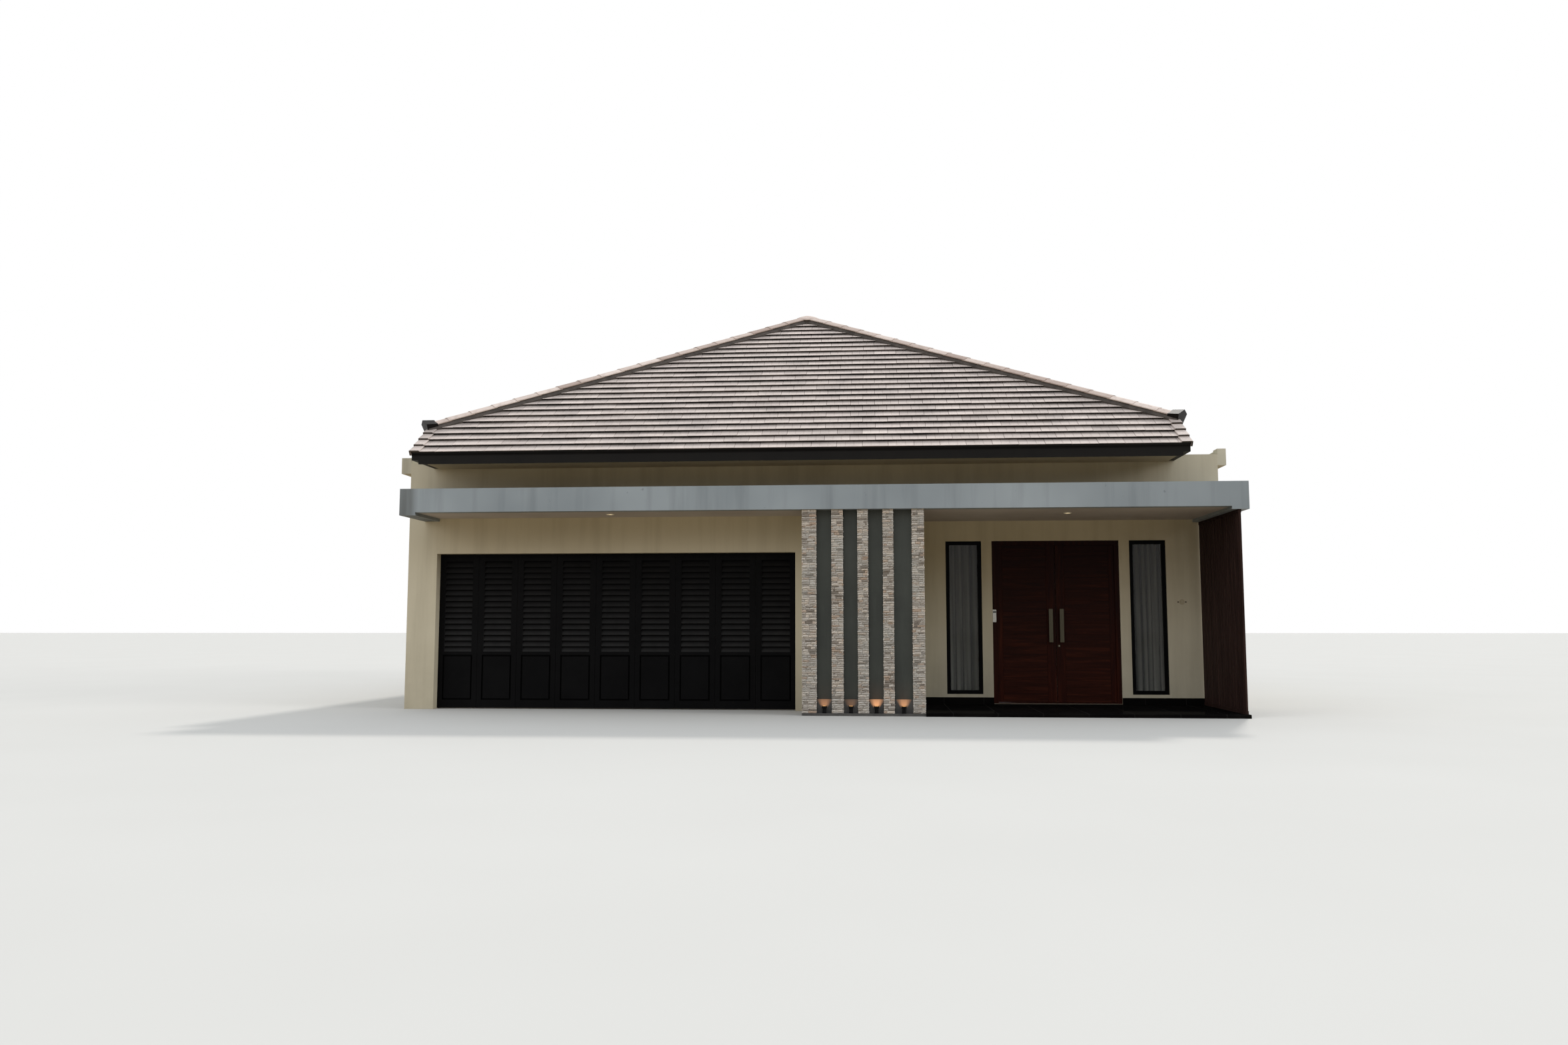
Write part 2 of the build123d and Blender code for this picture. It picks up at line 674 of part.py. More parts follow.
def window_outline(plane, left):
    """The frame's outline around one window of the wall that the plane lies in."""
    with BuildSketch(plane) as outline:
        with Locations((left + WINDOW_WIDTH / 2, (SILL + WINDOW_HEAD) / 2)):
            Rectangle(WINDOW_WIDTH, WINDOW_HEAD - SILL)
            Rectangle(
                WINDOW_WIDTH - 2 * WINDOW_BAR, WINDOW_HEAD - SILL - 2 * WINDOW_BAR, mode=Mode.SUBTRACT
            )
    return outline.sketch


def pane_outline(plane, left):
    with BuildSketch(plane) as outline:
        with Locations((left + WINDOW_WIDTH / 2, (SILL + WINDOW_HEAD) / 2)):
            Rectangle(WINDOW_WIDTH - 2 * WINDOW_BAR, WINDOW_HEAD - SILL - 2 * WINDOW_BAR)
    return outline.sketch


def window_plane(wall, start, depth):
    """Plane from which an extrusion by depth fills that depth of a wall, start in from its outer face."""
    if wall == "porch":
        return front_plane(PORCH_BACK + start + depth)
    if wall == "rear":
        return front_plane(REAR - start)
    if wall == "right":
        return Plane.YZ.offset(BODY_RIGHT - start - depth)
    return Plane.YZ.offset(BODY_LEFT + start)


def build_windows():
    """Every window has the same frame: porch, right side, left side and rear."""
    places = [("porch", left) for left in PORCH_WINDOW_LEFTS]
    places += [("right", left) for left in right_windows()]
    places += [("left", left) for left in left_windows()]
    places += [("rear", left) for left in rear_windows()]
    glass_at = WINDOW_SETBACK + (WINDOW_DEPTH - GLASS) / 2
    with BuildPart() as frames:
        for wall, left in places:
            outline = window_outline(window_plane(wall, WINDOW_SETBACK, WINDOW_DEPTH), left)
            extrude(outline, amount=WINDOW_DEPTH)
    save(frames, "window_frames")
    with BuildPart() as glass:
        for wall, left in places:
            extrude(pane_outline(window_plane(wall, glass_at, GLASS), left), amount=GLASS)
    save(glass, "window_glass")


def build_curtains():
    """A sheer curtain behind each porch window, hung from a rail on the wall's inner face."""
    rail_bottom = WINDOW_HEAD + RAIL_RISE
    with BuildPart() as rails:
        for left in PORCH_WINDOW_LEFTS:
            add_slab(
                left - CURTAIN_SPREAD, left + WINDOW_WIDTH + CURTAIN_SPREAD,
                PORCH_INNER, PORCH_INNER + CURTAIN_GAP + CURTAIN_DEPTH,
                rail_bottom, rail_bottom + RAIL_HEIGHT,
            )
    save(rails, "curtain_rails")
    with BuildPart() as curtains:
        for left in PORCH_WINDOW_LEFTS:
            add_slab(
                left - CURTAIN_SPREAD, left + WINDOW_WIDTH + CURTAIN_SPREAD,
                PORCH_INNER + CURTAIN_GAP, PORCH_INNER + CURTAIN_GAP + CURTAIN_DEPTH,
                HOUSE_FLOOR_TOP + CURTAIN_HEM, rail_bottom,
            )
    save(curtains, "porch_curtains")


# Roof


def front_under(y):
    """Level of the underside of the front slope's deck."""
    return EAVE_LEVEL + (y - EAVE_TIP) * FRONT_TAN - DECK / cos(radians(FRONT_PITCH))


def side_under(inset):
    """Level of the underside of a side slope's deck, inset from the roof's edge."""
    return SIDE_EAVE_LEVEL + inset * SIDE_TAN - DECK / cos(atan(SIDE_TAN))


def course_profile(pitch, run):
    """Section of a slope with its overlapping tile courses: (run in from the eave, rise) points."""
    def point(along, above):
        return along * cos(pitch) - above * sin(pitch), along * sin(pitch) + above * cos(pitch)

    count = int(run / cos(pitch) / COURSE) + 2
    points = [point(0, -DECK)]
    for i in range(count):
        points.append(point(i * COURSE, TILE_LIP))
        points.append(point((i + 1) * COURSE, 0))
    points.append(point(count * COURSE, -DECK))
    return points


def hip_plane(x_sign, y_sign):
    """Vertical plane through a hip, facing the front or rear slope beside it."""
    across = ROOF_HALF_WIDTH
    along = RIDGE_START - HIP_FOOT
    return Plane(
        origin=(x_sign * ROOF_HALF_WIDTH, -y_sign * HIP_FOOT, 0),
        z_dir=(-x_sign * along, y_sign * across, 0),
    )


def build_slopes():
    with BuildPart() as front:
        with BuildSketch(Plane.YZ):
            with BuildLine():
                profile = course_profile(radians(FRONT_PITCH), RIDGE_START - EAVE_TIP)
                Polyline(*[(EAVE_TIP + u, EAVE_LEVEL + w) for u, w in profile], close=True)
            make_face()
        extrude(amount=ROOF_HALF_WIDTH, both=True)
        split(bisect_by=hip_plane(-1, -1), keep=Keep.TOP)
        split(bisect_by=hip_plane(1, -1), keep=Keep.TOP)
    save(front, "front_slope")
    with BuildPart() as rear:
        mirror(front.part, about=Plane.XZ)
    save(rear, "rear_slope")
    with BuildPart() as left:
        with BuildSketch(Plane.XZ):
            with BuildLine():
                profile = course_profile(atan(SIDE_TAN), ROOF_HALF_WIDTH)
                Polyline(*[(-ROOF_HALF_WIDTH + u, SIDE_EAVE_LEVEL + w) for u, w in profile], close=True)
            make_face()
        extrude(amount=HOUSE_DEPTH / 2 + EAVE_PROJECTION, both=True)
        split(bisect_by=hip_plane(-1, -1), keep=Keep.BOTTOM)
        split(bisect_by=hip_plane(-1, 1), keep=Keep.BOTTOM)
        split(bisect_by=Plane.YZ, keep=Keep.BOTTOM)
    save(left, "left_slope")
    with BuildPart() as right:
        mirror(left.part, about=Plane.YZ)
    save(right, "right_slope")


def cap_section(direction, normal_1, normal_2):
    """Section of a folded cap tile on its bed of mortar, as the plane's x axis and an outline."""
    upright = Vector(0, 0, 1)
    x_dir = direction.cross(upright).normalized()
    y_dir = direction.cross(x_dir)
    steeper = min(normal_1.Z, normal_2.Z)
    fold = upright - direction * direction.Z

    def wing_towards(normal, other):
        away = direction.cross(normal)
        return away if away.dot(other) < 0 else away * -1

    wing_1 = wing_towards(normal_1, normal_2)
    wing_2 = wing_towards(normal_2, normal_1)
    under = fold * ((TILE_LIP + SEAT) / steeper)
    top = fold * ((TILE_LIP + SEAT + CAP_BED + CAP_THICKNESS) / steeper)

    def side(wing, normal):
        bed_foot = under + wing * (CAP_WING - BED_SETBACK)
        edge = under + wing * CAP_WING + normal * CAP_BED
        return [bed_foot, bed_foot + normal * CAP_BED, edge, edge + normal * CAP_THICKNESS, top + wing * CAP_CHAMFER]

    outline = [under] + side(wing_1, normal_1) + side(wing_2, normal_2)[::-1]
    return x_dir, [(point.dot(x_dir), point.dot(y_dir)) for point in outline]


def mitre_plane(x_sign):
    """Vertical plane at the front apex between a hip cap and the ridge cap, facing the hip."""
    hip = Vector(x_sign * ROOF_HALF_WIDTH, HIP_FOOT - RIDGE_START, 0).normalized()
    middle = (hip + Vector(0, 1, 0)).normalized()
    facing = hip - middle * hip.dot(middle)
    return Plane(origin=(0, RIDGE_START, 0), z_dir=facing)


FRONT_NORMAL = Vector(0, -FRONT_TAN, 1).normalized()
LEFT_NORMAL = Vector(-SIDE_TAN, 0, 1).normalized()
RIGHT_NORMAL = Vector(SIDE_TAN, 0, 1).normalized()
HIP_START = Vector(-ROOF_HALF_WIDTH, HIP_FOOT, SIDE_EAVE_LEVEL)
HIP_END = Vector(0, RIDGE_START, RIDGE_LEVEL)
HIP_DIRECTION = (HIP_END - HIP_START).normalized()
CAP_START = HIP_START - HIP_DIRECTION * HIP_OVERHANG


def build_caps():
    x_dir, outline = cap_section(HIP_DIRECTION, FRONT_NORMAL, LEFT_NORMAL)
    with BuildPart() as hip:
        with BuildSketch(Plane(origin=CAP_START, x_dir=x_dir, z_dir=HIP_DIRECTION)):
            with BuildLine():
                Polyline(*outline, close=True)
            make_face()
        extrude(amount=(HIP_END - CAP_START).length + CAP_WING)
        split(bisect_by=Plane.YZ, keep=Keep.BOTTOM)
        split(bisect_by=mitre_plane(-1), keep=Keep.TOP)
    with BuildPart() as hips:
        add(hip.part)
        mirror(about=Plane.YZ)
        mirror(about=Plane.XZ)
    save(hips, "hip_caps")
    along = Vector(0, 1, 0)
    x_dir, outline = cap_section(along, LEFT_NORMAL, RIGHT_NORMAL)
    start = Vector(0, RIDGE_START - CAP_WING, RIDGE_LEVEL)
    with BuildPart() as ridge:
        with BuildSketch(Plane(origin=start, x_dir=x_dir, z_dir=along)):
            with BuildLine():
                Polyline(*outline, close=True)
            make_face()
        extrude(amount=-2 * start.Y)
        split(bisect_by=mitre_plane(-1), keep=Keep.BOTTOM)
        split(bisect_by=mitre_plane(1), keep=Keep.BOTTOM)
        split(bisect_by=Plane.XZ, keep=Keep.TOP)
        mirror(about=Plane.XZ)
    save(ridge, "ridge_cap")


def build_verges():
    """Cap tiles along the sloping ends of the lowered front and rear eaves, and the boards under them."""
    seat = TILE_LIP + SEAT
    edge = Vector(-ROOF_HALF_WIDTH, EAVE_TIP, EAVE_LEVEL)
    up_slope = Vector(0, 1, FRONT_TAN).normalized()
    with BuildPart() as cap:
        with BuildSketch(Plane(origin=edge, x_dir=(-1, 0, 0), z_dir=up_slope)):
            with BuildLine():
                Polyline(
                    (0, seat), (-VERGE_WIDTH, seat), (-VERGE_WIDTH, seat + CAP_THICKNESS),
                    (CAP_THICKNESS, seat + CAP_THICKNESS), (CAP_THICKNESS, -DECK), (0, -DECK),
                    close=True,
                )
            make_face()
        extrude(amount=(HIP_START - edge).length)
        split(bisect_by=Plane(origin=CAP_START, z_dir=HIP_DIRECTION), keep=Keep.BOTTOM)
    with BuildPart() as caps:
        add(cap.part)
        mirror(about=Plane.YZ)
        mirror(about=Plane.XZ)
    save(caps, "verge_caps")
    front = EAVE_TIP + FASCIA_INSET
    bottom = SOFFIT_LEVEL + SOFFIT_THICKNESS
    top = side_under(0)
    bend = EAVE_TIP + (top - front_under(EAVE_TIP)) / FRONT_TAN
    with BuildPart() as boards:
        with BuildSketch(Plane.YZ.offset(-ROOF_HALF_WIDTH)):
            with BuildLine():
                Polyline(
                    (front, bottom), (FRONT, bottom), (FRONT, top), (bend, top), (front, front_under(front)),
                    close=True,
                )
            make_face()
        extrude(amount=VERGE_BOARD)
        mirror(about=Plane.YZ)
        mirror(about=Plane.XZ)
    save(boards, "verge_boards")


def build_eaves():
    half = ROOF_HALF_WIDTH - VERGE_BOARD
    front = EAVE_TIP + FASCIA_INSET
    top = side_under(SIDE_FASCIA_INSET)
    left = -ROOF_HALF_WIDTH + SIDE_FASCIA_INSET
    with BuildPart() as fascias:
        add_slab(-half, half, front, front + FASCIA_THICKNESS, FASCIA_BOTTOM, front_under(front))
        add_slab(left, left + FASCIA_THICKNESS, FRONT, 0, top - SIDE_FASCIA_HEIGHT, top)
        mirror(about=Plane.YZ)
        mirror(about=Plane.XZ)
    save(fascias, "roof_fascias")
    with BuildPart() as soffits:
        add_slab(
            -half, half, front + FASCIA_THICKNESS, FRONT, SOFFIT_LEVEL, SOFFIT_LEVEL + SOFFIT_THICKNESS
        )
        mirror(about=Plane.XZ)
    save(soffits, "eave_soffits")


def build_gutter(sign, body, outer):
    """Concrete gutter along one side: floor, outer lip and the upstand that carries the side slope."""
    floor_top = WALL_TOP + GUTTER_FLOOR
    upstand_inner = sign * (UPSTAND_OUTER - UPSTAND)
    upstand_outer = sign * UPSTAND_OUTER
    lip_inner = outer - sign * GUTTER_LIP
    nose_bottom = WALL_TOP + GUTTER_NOSE_RISE
    bearing = side_under(ROOF_HALF_WIDTH - UPSTAND_OUTER)
    with BuildPart() as gutter:
        with BuildSketch(front_plane(REAR - WALL)):
            with BuildLine():
                Polyline(
                    (outer, nose_bottom), (body, nose_bottom), (body, WALL_TOP),
                    (upstand_inner, WALL_TOP), (upstand_inner, bearing),
                    (upstand_outer, bearing), (upstand_outer, floor_top), (lip_inner, floor_top),
                    (lip_inner, GUTTER_LIP_TOP), (outer, GUTTER_LIP_TOP),
                    close=True,
                )
            make_face()
        extrude(amount=HOUSE_DEPTH - 2 * WALL)
        for y in (FRONT, REAR - WALL):
            add_slab(min(body, outer), max(body, outer), y, y + WALL, nose_bottom, GUTTER_LIP_TOP)
    return gutter


def build_roof():
    build_slopes()
    build_caps()
    build_verges()
    build_eaves()
    save(build_gutter(-1, BODY_LEFT, GUTTER_LEFT), "left_gutter")
    save(build_gutter(1, BODY_RIGHT, GUTTER_RIGHT), "right_gutter")


build_floors()
build_garage_walls()
build_upper_front_wall()
build_feature_walls()
build_porch_walls()
build_side_and_rear_walls()
build_stone_fins()
build_canopy()
build_screen()
build_garage_door()
build_entrance()
build_windows()
build_curtains()
build_roof()
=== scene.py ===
"""Looks of the detached house: materials, tiles, stone cladding, door boards, curtains, light and camera."""

import json
import math
import random

import bmesh
import bpy
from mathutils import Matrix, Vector

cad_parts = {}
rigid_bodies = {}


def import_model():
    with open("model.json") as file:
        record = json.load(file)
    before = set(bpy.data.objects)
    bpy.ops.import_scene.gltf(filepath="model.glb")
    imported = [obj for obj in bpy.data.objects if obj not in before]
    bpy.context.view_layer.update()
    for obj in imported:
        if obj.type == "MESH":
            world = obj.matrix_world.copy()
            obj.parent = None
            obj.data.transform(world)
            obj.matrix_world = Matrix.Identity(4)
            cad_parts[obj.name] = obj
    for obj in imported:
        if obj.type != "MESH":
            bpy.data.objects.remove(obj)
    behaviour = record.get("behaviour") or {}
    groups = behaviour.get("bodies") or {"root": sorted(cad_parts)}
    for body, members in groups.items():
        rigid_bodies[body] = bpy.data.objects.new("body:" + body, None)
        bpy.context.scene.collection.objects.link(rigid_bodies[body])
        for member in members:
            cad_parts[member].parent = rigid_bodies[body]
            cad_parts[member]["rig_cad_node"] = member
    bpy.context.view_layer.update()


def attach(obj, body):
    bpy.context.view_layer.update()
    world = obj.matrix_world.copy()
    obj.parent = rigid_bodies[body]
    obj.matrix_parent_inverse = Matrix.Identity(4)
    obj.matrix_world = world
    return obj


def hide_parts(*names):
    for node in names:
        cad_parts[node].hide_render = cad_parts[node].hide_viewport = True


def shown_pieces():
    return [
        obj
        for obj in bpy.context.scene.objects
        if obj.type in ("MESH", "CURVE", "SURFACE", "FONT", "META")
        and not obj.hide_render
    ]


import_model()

# Sizes shared with the construction, in metres
ROOF_HALF = 5.48
EAVE_TIP = -6.9
EAVE_LEVEL = 3.7
FRONT_TAN = math.tan(math.radians(35.15))
SIDE_EAVE = 4.18
RIDGE_START = -2.65
RIDGE_LEVEL = EAVE_LEVEL + (RIDGE_START - EAVE_TIP) * FRONT_TAN
SIDE_TAN = (RIDGE_LEVEL - SIDE_EAVE) / ROOF_HALF
HIP_FOOT = EAVE_TIP + (SIDE_EAVE - EAVE_LEVEL) / FRONT_TAN
HIP_FOOT_RUN = (HIP_FOOT - EAVE_TIP) * math.hypot(1, FRONT_TAN)
COURSE = 0.203
LIP = 0.028
DECK = 0.04
CAP_WING = 0.125
CAP_BED = 0.043
BED_SETBACK = 0.018
HIP_OVERHANG = 0.06
VERGE_WIDTH = 0.13
SLAB_MIDDLE = 2.95
FINS = ((0.15, 0.204), (0.56, 0.165), (0.92, 0.151), (1.27, 0.15), (1.67, 0.172))
FEATURE_FACE = -6.8
FIN_FACE = -6.93
PLINTH = 0.035
SOFFIT = 2.84
GARAGE_DOOR_FACE = -5.85
PANELS_TOP = 0.83
PORCH_BACK = -5.0
DOOR_FACE = -4.95
DOOR_THICKNESS = 0.045
DOOR_CENTRE = 3.9125
DOOR_EDGE = 0.8995
WINDOWS = ((2.252, 2.797), (5.025, 5.57))

# Sizes of the small pieces that are made here
TILE_THICKNESS = 0.018
TILE_WIDTH = 0.36
STRIPS = 3
TILE_LAP = 0.045
TILE_GAP = 0.0015
TILE_CHAMFER = 0.0035
CAP_PITCH = 0.36
CAP_THICKNESS = 0.015
STONE_SKIN = 0.02
STONE_RIM = 0.0022
STONE_GRID = 0.035
BOARDS = 14


def rgb(r, g, b):
    """Linear colour from 8-bit display values."""
    def channel(value):
        value /= 255
        return value / 12.92 if value <= 0.04045 else ((value + 0.055) / 1.055) ** 2.4

    return channel(r), channel(g), channel(b), 1.0


def clamped(value):
    return min(max(value, 0.0), 1.0)


# Materials

MATERIALS = {}


class Nodes:
    """Adds nodes to a tree and joins them. An input that is given as None keeps its default."""

    def __init__(self, tree):
        self.tree = tree

    def fill(self, node, *values, **inputs):
        """Inputs of a node by their order or by name, with _ for a space; a socket is linked."""
        for key, value in [*enumerate(values), *inputs.items()]:
            socket = node.inputs[key if isinstance(key, int) else key.replace("_", " ")]
            if isinstance(value, bpy.types.NodeSocket):
                self.tree.links.new(value, socket)
            elif value is not None:
                socket.default_value = value
        return node

    def node(self, kind, *values, **inputs):
        return self.fill(self.tree.nodes.new(kind), *values, **inputs)

    def math(self, operation, a, b):
        made = self.node("ShaderNodeMath", a, b)
        made.operation = operation
        return made.outputs[0]

    def times(self, first, *factors):
        for factor in factors:
            first = self.math("MULTIPLY", first, factor)
        return first

    def grey(self, value, low, high, at_low=0.0, at_high=1.0):
        """A value carried from one range to another and held at its ends."""
        made = self.node(
            "ShaderNodeMapRange", Value=value, From_Min=low, From_Max=high, To_Min=at_low, To_Max=at_high
        )
        return made.outputs["Result"]

    def ramp(self, value, *stops):
        made = self.node("ShaderNodeValToRGB", Fac=value)
        elements = made.color_ramp.elements
        while len(elements) < len(stops):
            elements.new(0.5)
        for element, (position, colour) in zip(elements, stops):
            element.position = position
            element.color = colour
        return made.outputs["Color"]


class Shader(Nodes):
    """A material under construction, whose textures lie in the object's own coordinates."""

    def __init__(self, name, roughness=0.6, specular=0.5, metallic=0.0):
        self.material = MATERIALS[name] = bpy.data.materials.new(name)
        self.material.use_nodes = True
        super().__init__(self.material.node_tree)
        self.surface = self.tree.nodes["Principled BSDF"]
        self.fill(self.surface, Roughness=roughness, Specular_IOR_Level=specular, Metallic=metallic)
        self.place = self.node("ShaderNodeTexCoord").outputs["Object"]

    def noise(self, scale, detail=3.0, stretch=None, shift=(0, 0, 0), roughness=0.55, distortion=0.0):
        place = self.place
        if stretch:
            place = self.node("ShaderNodeMapping", Vector=place, Location=shift, Scale=stretch).outputs[0]
        made = self.node(
            "ShaderNodeTexNoise", Vector=place, Scale=scale, Detail=detail, Roughness=roughness,
            Distortion=distortion,
        )
        return made.outputs["Fac"]

    def blend(self, value, first, second, end=0.7):
        return self.ramp(value, (0.3, first), (end, second))

    def mix(self, factor, a, b, blend="MIX"):
        made = self.node("ShaderNodeMix")
        made.data_type = "RGBA"
        made.blend_type = blend
        return self.fill(made, factor, *[None] * 5, a, b).outputs[2]

    def stain(self, colour, value, low, high, amount, stain):
        """A colour with a stain that starts where the value is low and has its full amount at high."""
        return self.mix(self.grey(value, low, high, 0.0, amount), colour, stain)

    def shaded(self, colour, brightness):
        grey = self.node("ShaderNodeCombineColor", Red=brightness, Green=brightness, Blue=brightness)
        return self.mix(1.0, colour, grey.outputs[0], "MULTIPLY")

    def joints(self, value, pitch, width):
        """1 in the narrow joints that repeat at a pitch."""
        return self.math("LESS_THAN", self.math("FRACT", self.math("DIVIDE", value, pitch), 0.0), width)

    def attribute(self, name):
        made = self.node("ShaderNodeAttribute")
        made.attribute_name = name
        return made.outputs["Fac"]

    def axis(self, index):
        return self.node("ShaderNodeSeparateXYZ", Vector=self.place).outputs[index]

    def bump(self, height, strength, distance=0.01, normal=None):
        made = self.node("ShaderNodeBump", Height=height, Strength=strength, Distance=distance, Normal=normal)
        return made.outputs[0]

    def finish(self, colour, roughness=None, normal=None, emission=None, strength=None):
        self.fill(
            self.surface, Base_Color=colour, Roughness=roughness, Normal=normal, Emission_Color=emission,
            Emission_Strength=strength,
        )
        return self.material


def painted_wall(name, colour, dirt, streak=0.25, grain=0.12):
    """Painted render with sand grain, cloudy patches, faint rain streaks, and dirt near the ground."""
    s = Shader(name, 0.85, 0.25)
    patches = s.noise(0.9, 4.0)
    streaks = s.noise(3.0, 4.0, (1.6, 1.6, 0.12))
    foot = s.times(s.grey(s.axis(2), 1.1, 0.0, 0.0, 0.5), s.grey(s.noise(3.5, 5.0), 0.2, 0.8, 0.3, 1.0))
    amount = s.times(s.grey(streaks, 0.46, 0.74), streak)
    amount = s.math("ADD", amount, s.times(s.grey(patches, 0.4, 0.7), 0.12))
    base = s.mix(s.math("ADD", amount, foot), colour, dirt)
    normal = s.bump(s.noise(6.0), 0.12, 0.02, s.bump(s.noise(260.0, 2.0), grain, 0.002))
    s.finish(base, s.grey(patches, 0.3, 0.7, 0.78, 0.92), normal)


def canopy_paint():
    """Blue-grey paint of the beams, with faint upright water marks and painted shade that darkens the left
    end.
    """
    s = Shader("canopy_paint", 0.6, 0.35)
    streaks = s.noise(2.2, 5.0, (2.2, 2.2, 0.15))
    colour = s.ramp(
        s.noise(0.55), (0.3, rgb(130, 139, 146)), (0.55, rgb(145, 154, 161)), (0.75, rgb(155, 164, 171))
    )
    colour = s.stain(colour, streaks, 0.5, 0.75, 0.35, rgb(92, 98, 102))
    # Painted shade: the left end is darkened in streaky patches.
    painted_left_end_shade = s.times(s.grey(s.axis(0), -5.33, -5.44), s.grey(streaks, 0.3, 0.6, 0.4, 0.8))
    colour = s.mix(painted_left_end_shade, colour, rgb(82, 85, 84))
    colour = s.stain(colour, s.noise(9.0, 2.0), 0.73, 0.78, 0.35, rgb(70, 74, 76))
    s.finish(colour, None, s.bump(s.noise(180.0, 2.0), 0.08, 0.002))


def slab_paint():
    """Pale paint on the slab's underside and a dark, weathered screed on its top."""
    s = Shader("slab_paint", 0.85, 0.15)
    paint = s.blend(s.noise(1.2), rgb(184, 177, 174), rgb(196, 190, 188))
    screed = s.blend(s.noise(2.4, 4.0), rgb(52, 49, 44), rgb(80, 76, 68))
    colour = s.mix(s.math("GREATER_THAN", s.axis(2), SLAB_MIDDLE), paint, screed)
    s.finish(colour, None, s.bump(s.noise(160.0, 2.0), 0.1, 0.002))


def tile_concrete():
    """Flat concrete roof tiles: pale pinkish-grey tops with some lichen, darker towards the back of each
    course from grime and painted shade, and noses painted near black as shade, with weathered patches.
    """
    s = Shader("tile_concrete", 0.85, 0.25)
    grain = s.noise(55.0, 4.0)
    runs = s.noise(0.9, 3.0, (1.0, 1.0, 9.0))
    top = s.ramp(
        s.attribute("tone"), (0.0, rgb(156, 144, 139)), (0.3, rgb(184, 172, 166)), (0.7, rgb(206, 193, 186)),
        (1.0, rgb(226, 213, 206)),
    )
    top = s.stain(top, s.noise(1.7, 4.0), 0.48, 0.75, 0.4, rgb(140, 133, 130))
    top = s.stain(top, grain, 0.45, 0.72, 0.35, rgb(130, 120, 114))
    # Grime and painted shade: each top darkens towards the back of its course, where the next course's nose
    # casts its shadow.
    grime_and_painted_shade = s.times(s.grey(s.attribute("rise"), 0.3, 0.95), s.grey(runs, 0.75, 0.3, 0.35, 1.0))
    top = s.mix(grime_and_painted_shade, top, rgb(62, 55, 52))
    # Painted shade: the noses face away from the light and are made near black, lighter in long runs.
    nose = s.mix(s.grey(runs, 0.45, 0.68), rgb(12, 10, 9), rgb(76, 68, 64))
    nose = s.stain(nose, s.noise(9.0), 0.5, 0.75, 0.3, rgb(50, 44, 41))
    s.finish(s.mix(s.attribute("edge"), top, nose), None, s.bump(grain, 0.35, 0.003))


def cap_concrete():
    """The same concrete on hips and ridge, a little redder and evenly worn."""
    s = Shader("cap_concrete", 0.85, 0.25)
    tone = s.attribute("tone")
    colour = s.ramp(tone, (0.0, rgb(160, 142, 133)), (0.5, rgb(184, 168, 159)), (1.0, rgb(206, 192, 184)))
    colour = s.stain(colour, s.noise(9.0, 5.0), 0.48, 0.75, 0.45, rgb(138, 124, 116))
    s.finish(colour, None, s.bump(s.noise(60.0, 4.0), 0.35, 0.003))


def ledge_stone():
    """Split stone strips, nearly white to grey-beige, with brown and dark stains along their beds."""
    s = Shader("ledge_stone", 0.9, 0.2)
    colour = s.ramp(
        s.attribute("tone"), (0.0, rgb(124, 116, 108)), (0.22, rgb(166, 159, 152)),
        (0.55, rgb(192, 187, 181)), (0.8, rgb(204, 194, 183)), (1.0, rgb(176, 156, 140)),
    )
    colour = s.stain(colour, s.noise(1.6), 0.48, 0.66, 0.4, rgb(178, 182, 180))
    veins = s.noise(22.0, 5.0, (1.0, 1.0, 2.5))
    colour = s.stain(colour, veins, 0.52, 0.74, 0.4, rgb(142, 127, 117))
    specks = s.noise(40.0, 3.0, (1.0, 1.0, 4.0))
    colour = s.stain(colour, specks, 0.56, 0.68, 0.7, rgb(90, 90, 86))
    s.finish(colour, None, s.bump(s.noise(48.0, 5.0), 0.8, 0.006))


# Middle of each recess between two fins, with how bright its lamp's painted glow is
NICHE_LAMPS = [
    ((left + width + following) / 2, power)
    for (left, width), (following, _), power in zip(FINS, FINS[1:], (0.5, 0.16, 1.05, 0.75))
]


def painted_lamp_glow(s, reach, level, strength):
    """Painted glow of the niches' lamps on a surface, given as emission: a fan that starts at each lamp and
    fades upward.
    """
    x, rise = s.axis(0), s.math("SUBTRACT", s.axis(2), level)
    spread = s.math("ADD", s.times(rise, 0.5), 0.05)
    fade = s.times(s.grey(rise, reach, 0.0), s.grey(rise, -0.02, 0.02))
    total = 0.0
    for lamp, power in NICHE_LAMPS:
        across = s.math("ABSOLUTE", s.math("SUBTRACT", x, lamp), 0.0)
        side = s.grey(s.math("DIVIDE", across, spread), 1.2, 0.35)
        total = s.math("ADD", total, s.times(side, fade, power * strength))
    return total


def niche_paint():
    """Grey-green paint in the niches, with a faint painted glow of the lamps from below."""
    s = Shader("niche_paint", 0.55, 0.35)
    colour = s.blend(s.noise(1.6, 4.0), rgb(62, 66, 63), rgb(74, 78, 74))
    streaks = s.noise(5.0, 4.0, (2.0, 2.0, 0.3))
    colour = s.stain(colour, streaks, 0.5, 0.8, 0.3, rgb(86, 92, 87))
    normal = s.bump(s.noise(150.0, 2.0), 0.12, 0.002)
    s.finish(colour, None, normal, rgb(255, 150, 70), painted_lamp_glow(s, 0.3, 0.2, 0.015))


def kerb_stone():
    """Dark stone of the kerb at the niches' feet, with the lamps' light painted on as a glow."""
    s = Shader("kerb_stone", 0.5, 0.4)
    colour = s.blend(s.noise(6.0, 4.0), rgb(58, 58, 58), rgb(80, 79, 77))
    normal = s.bump(s.noise(90.0), 0.2, 0.003)
    s.finish(colour, None, normal, rgb(255, 180, 122), painted_lamp_glow(s, 0.2, 0.128, 0.85))


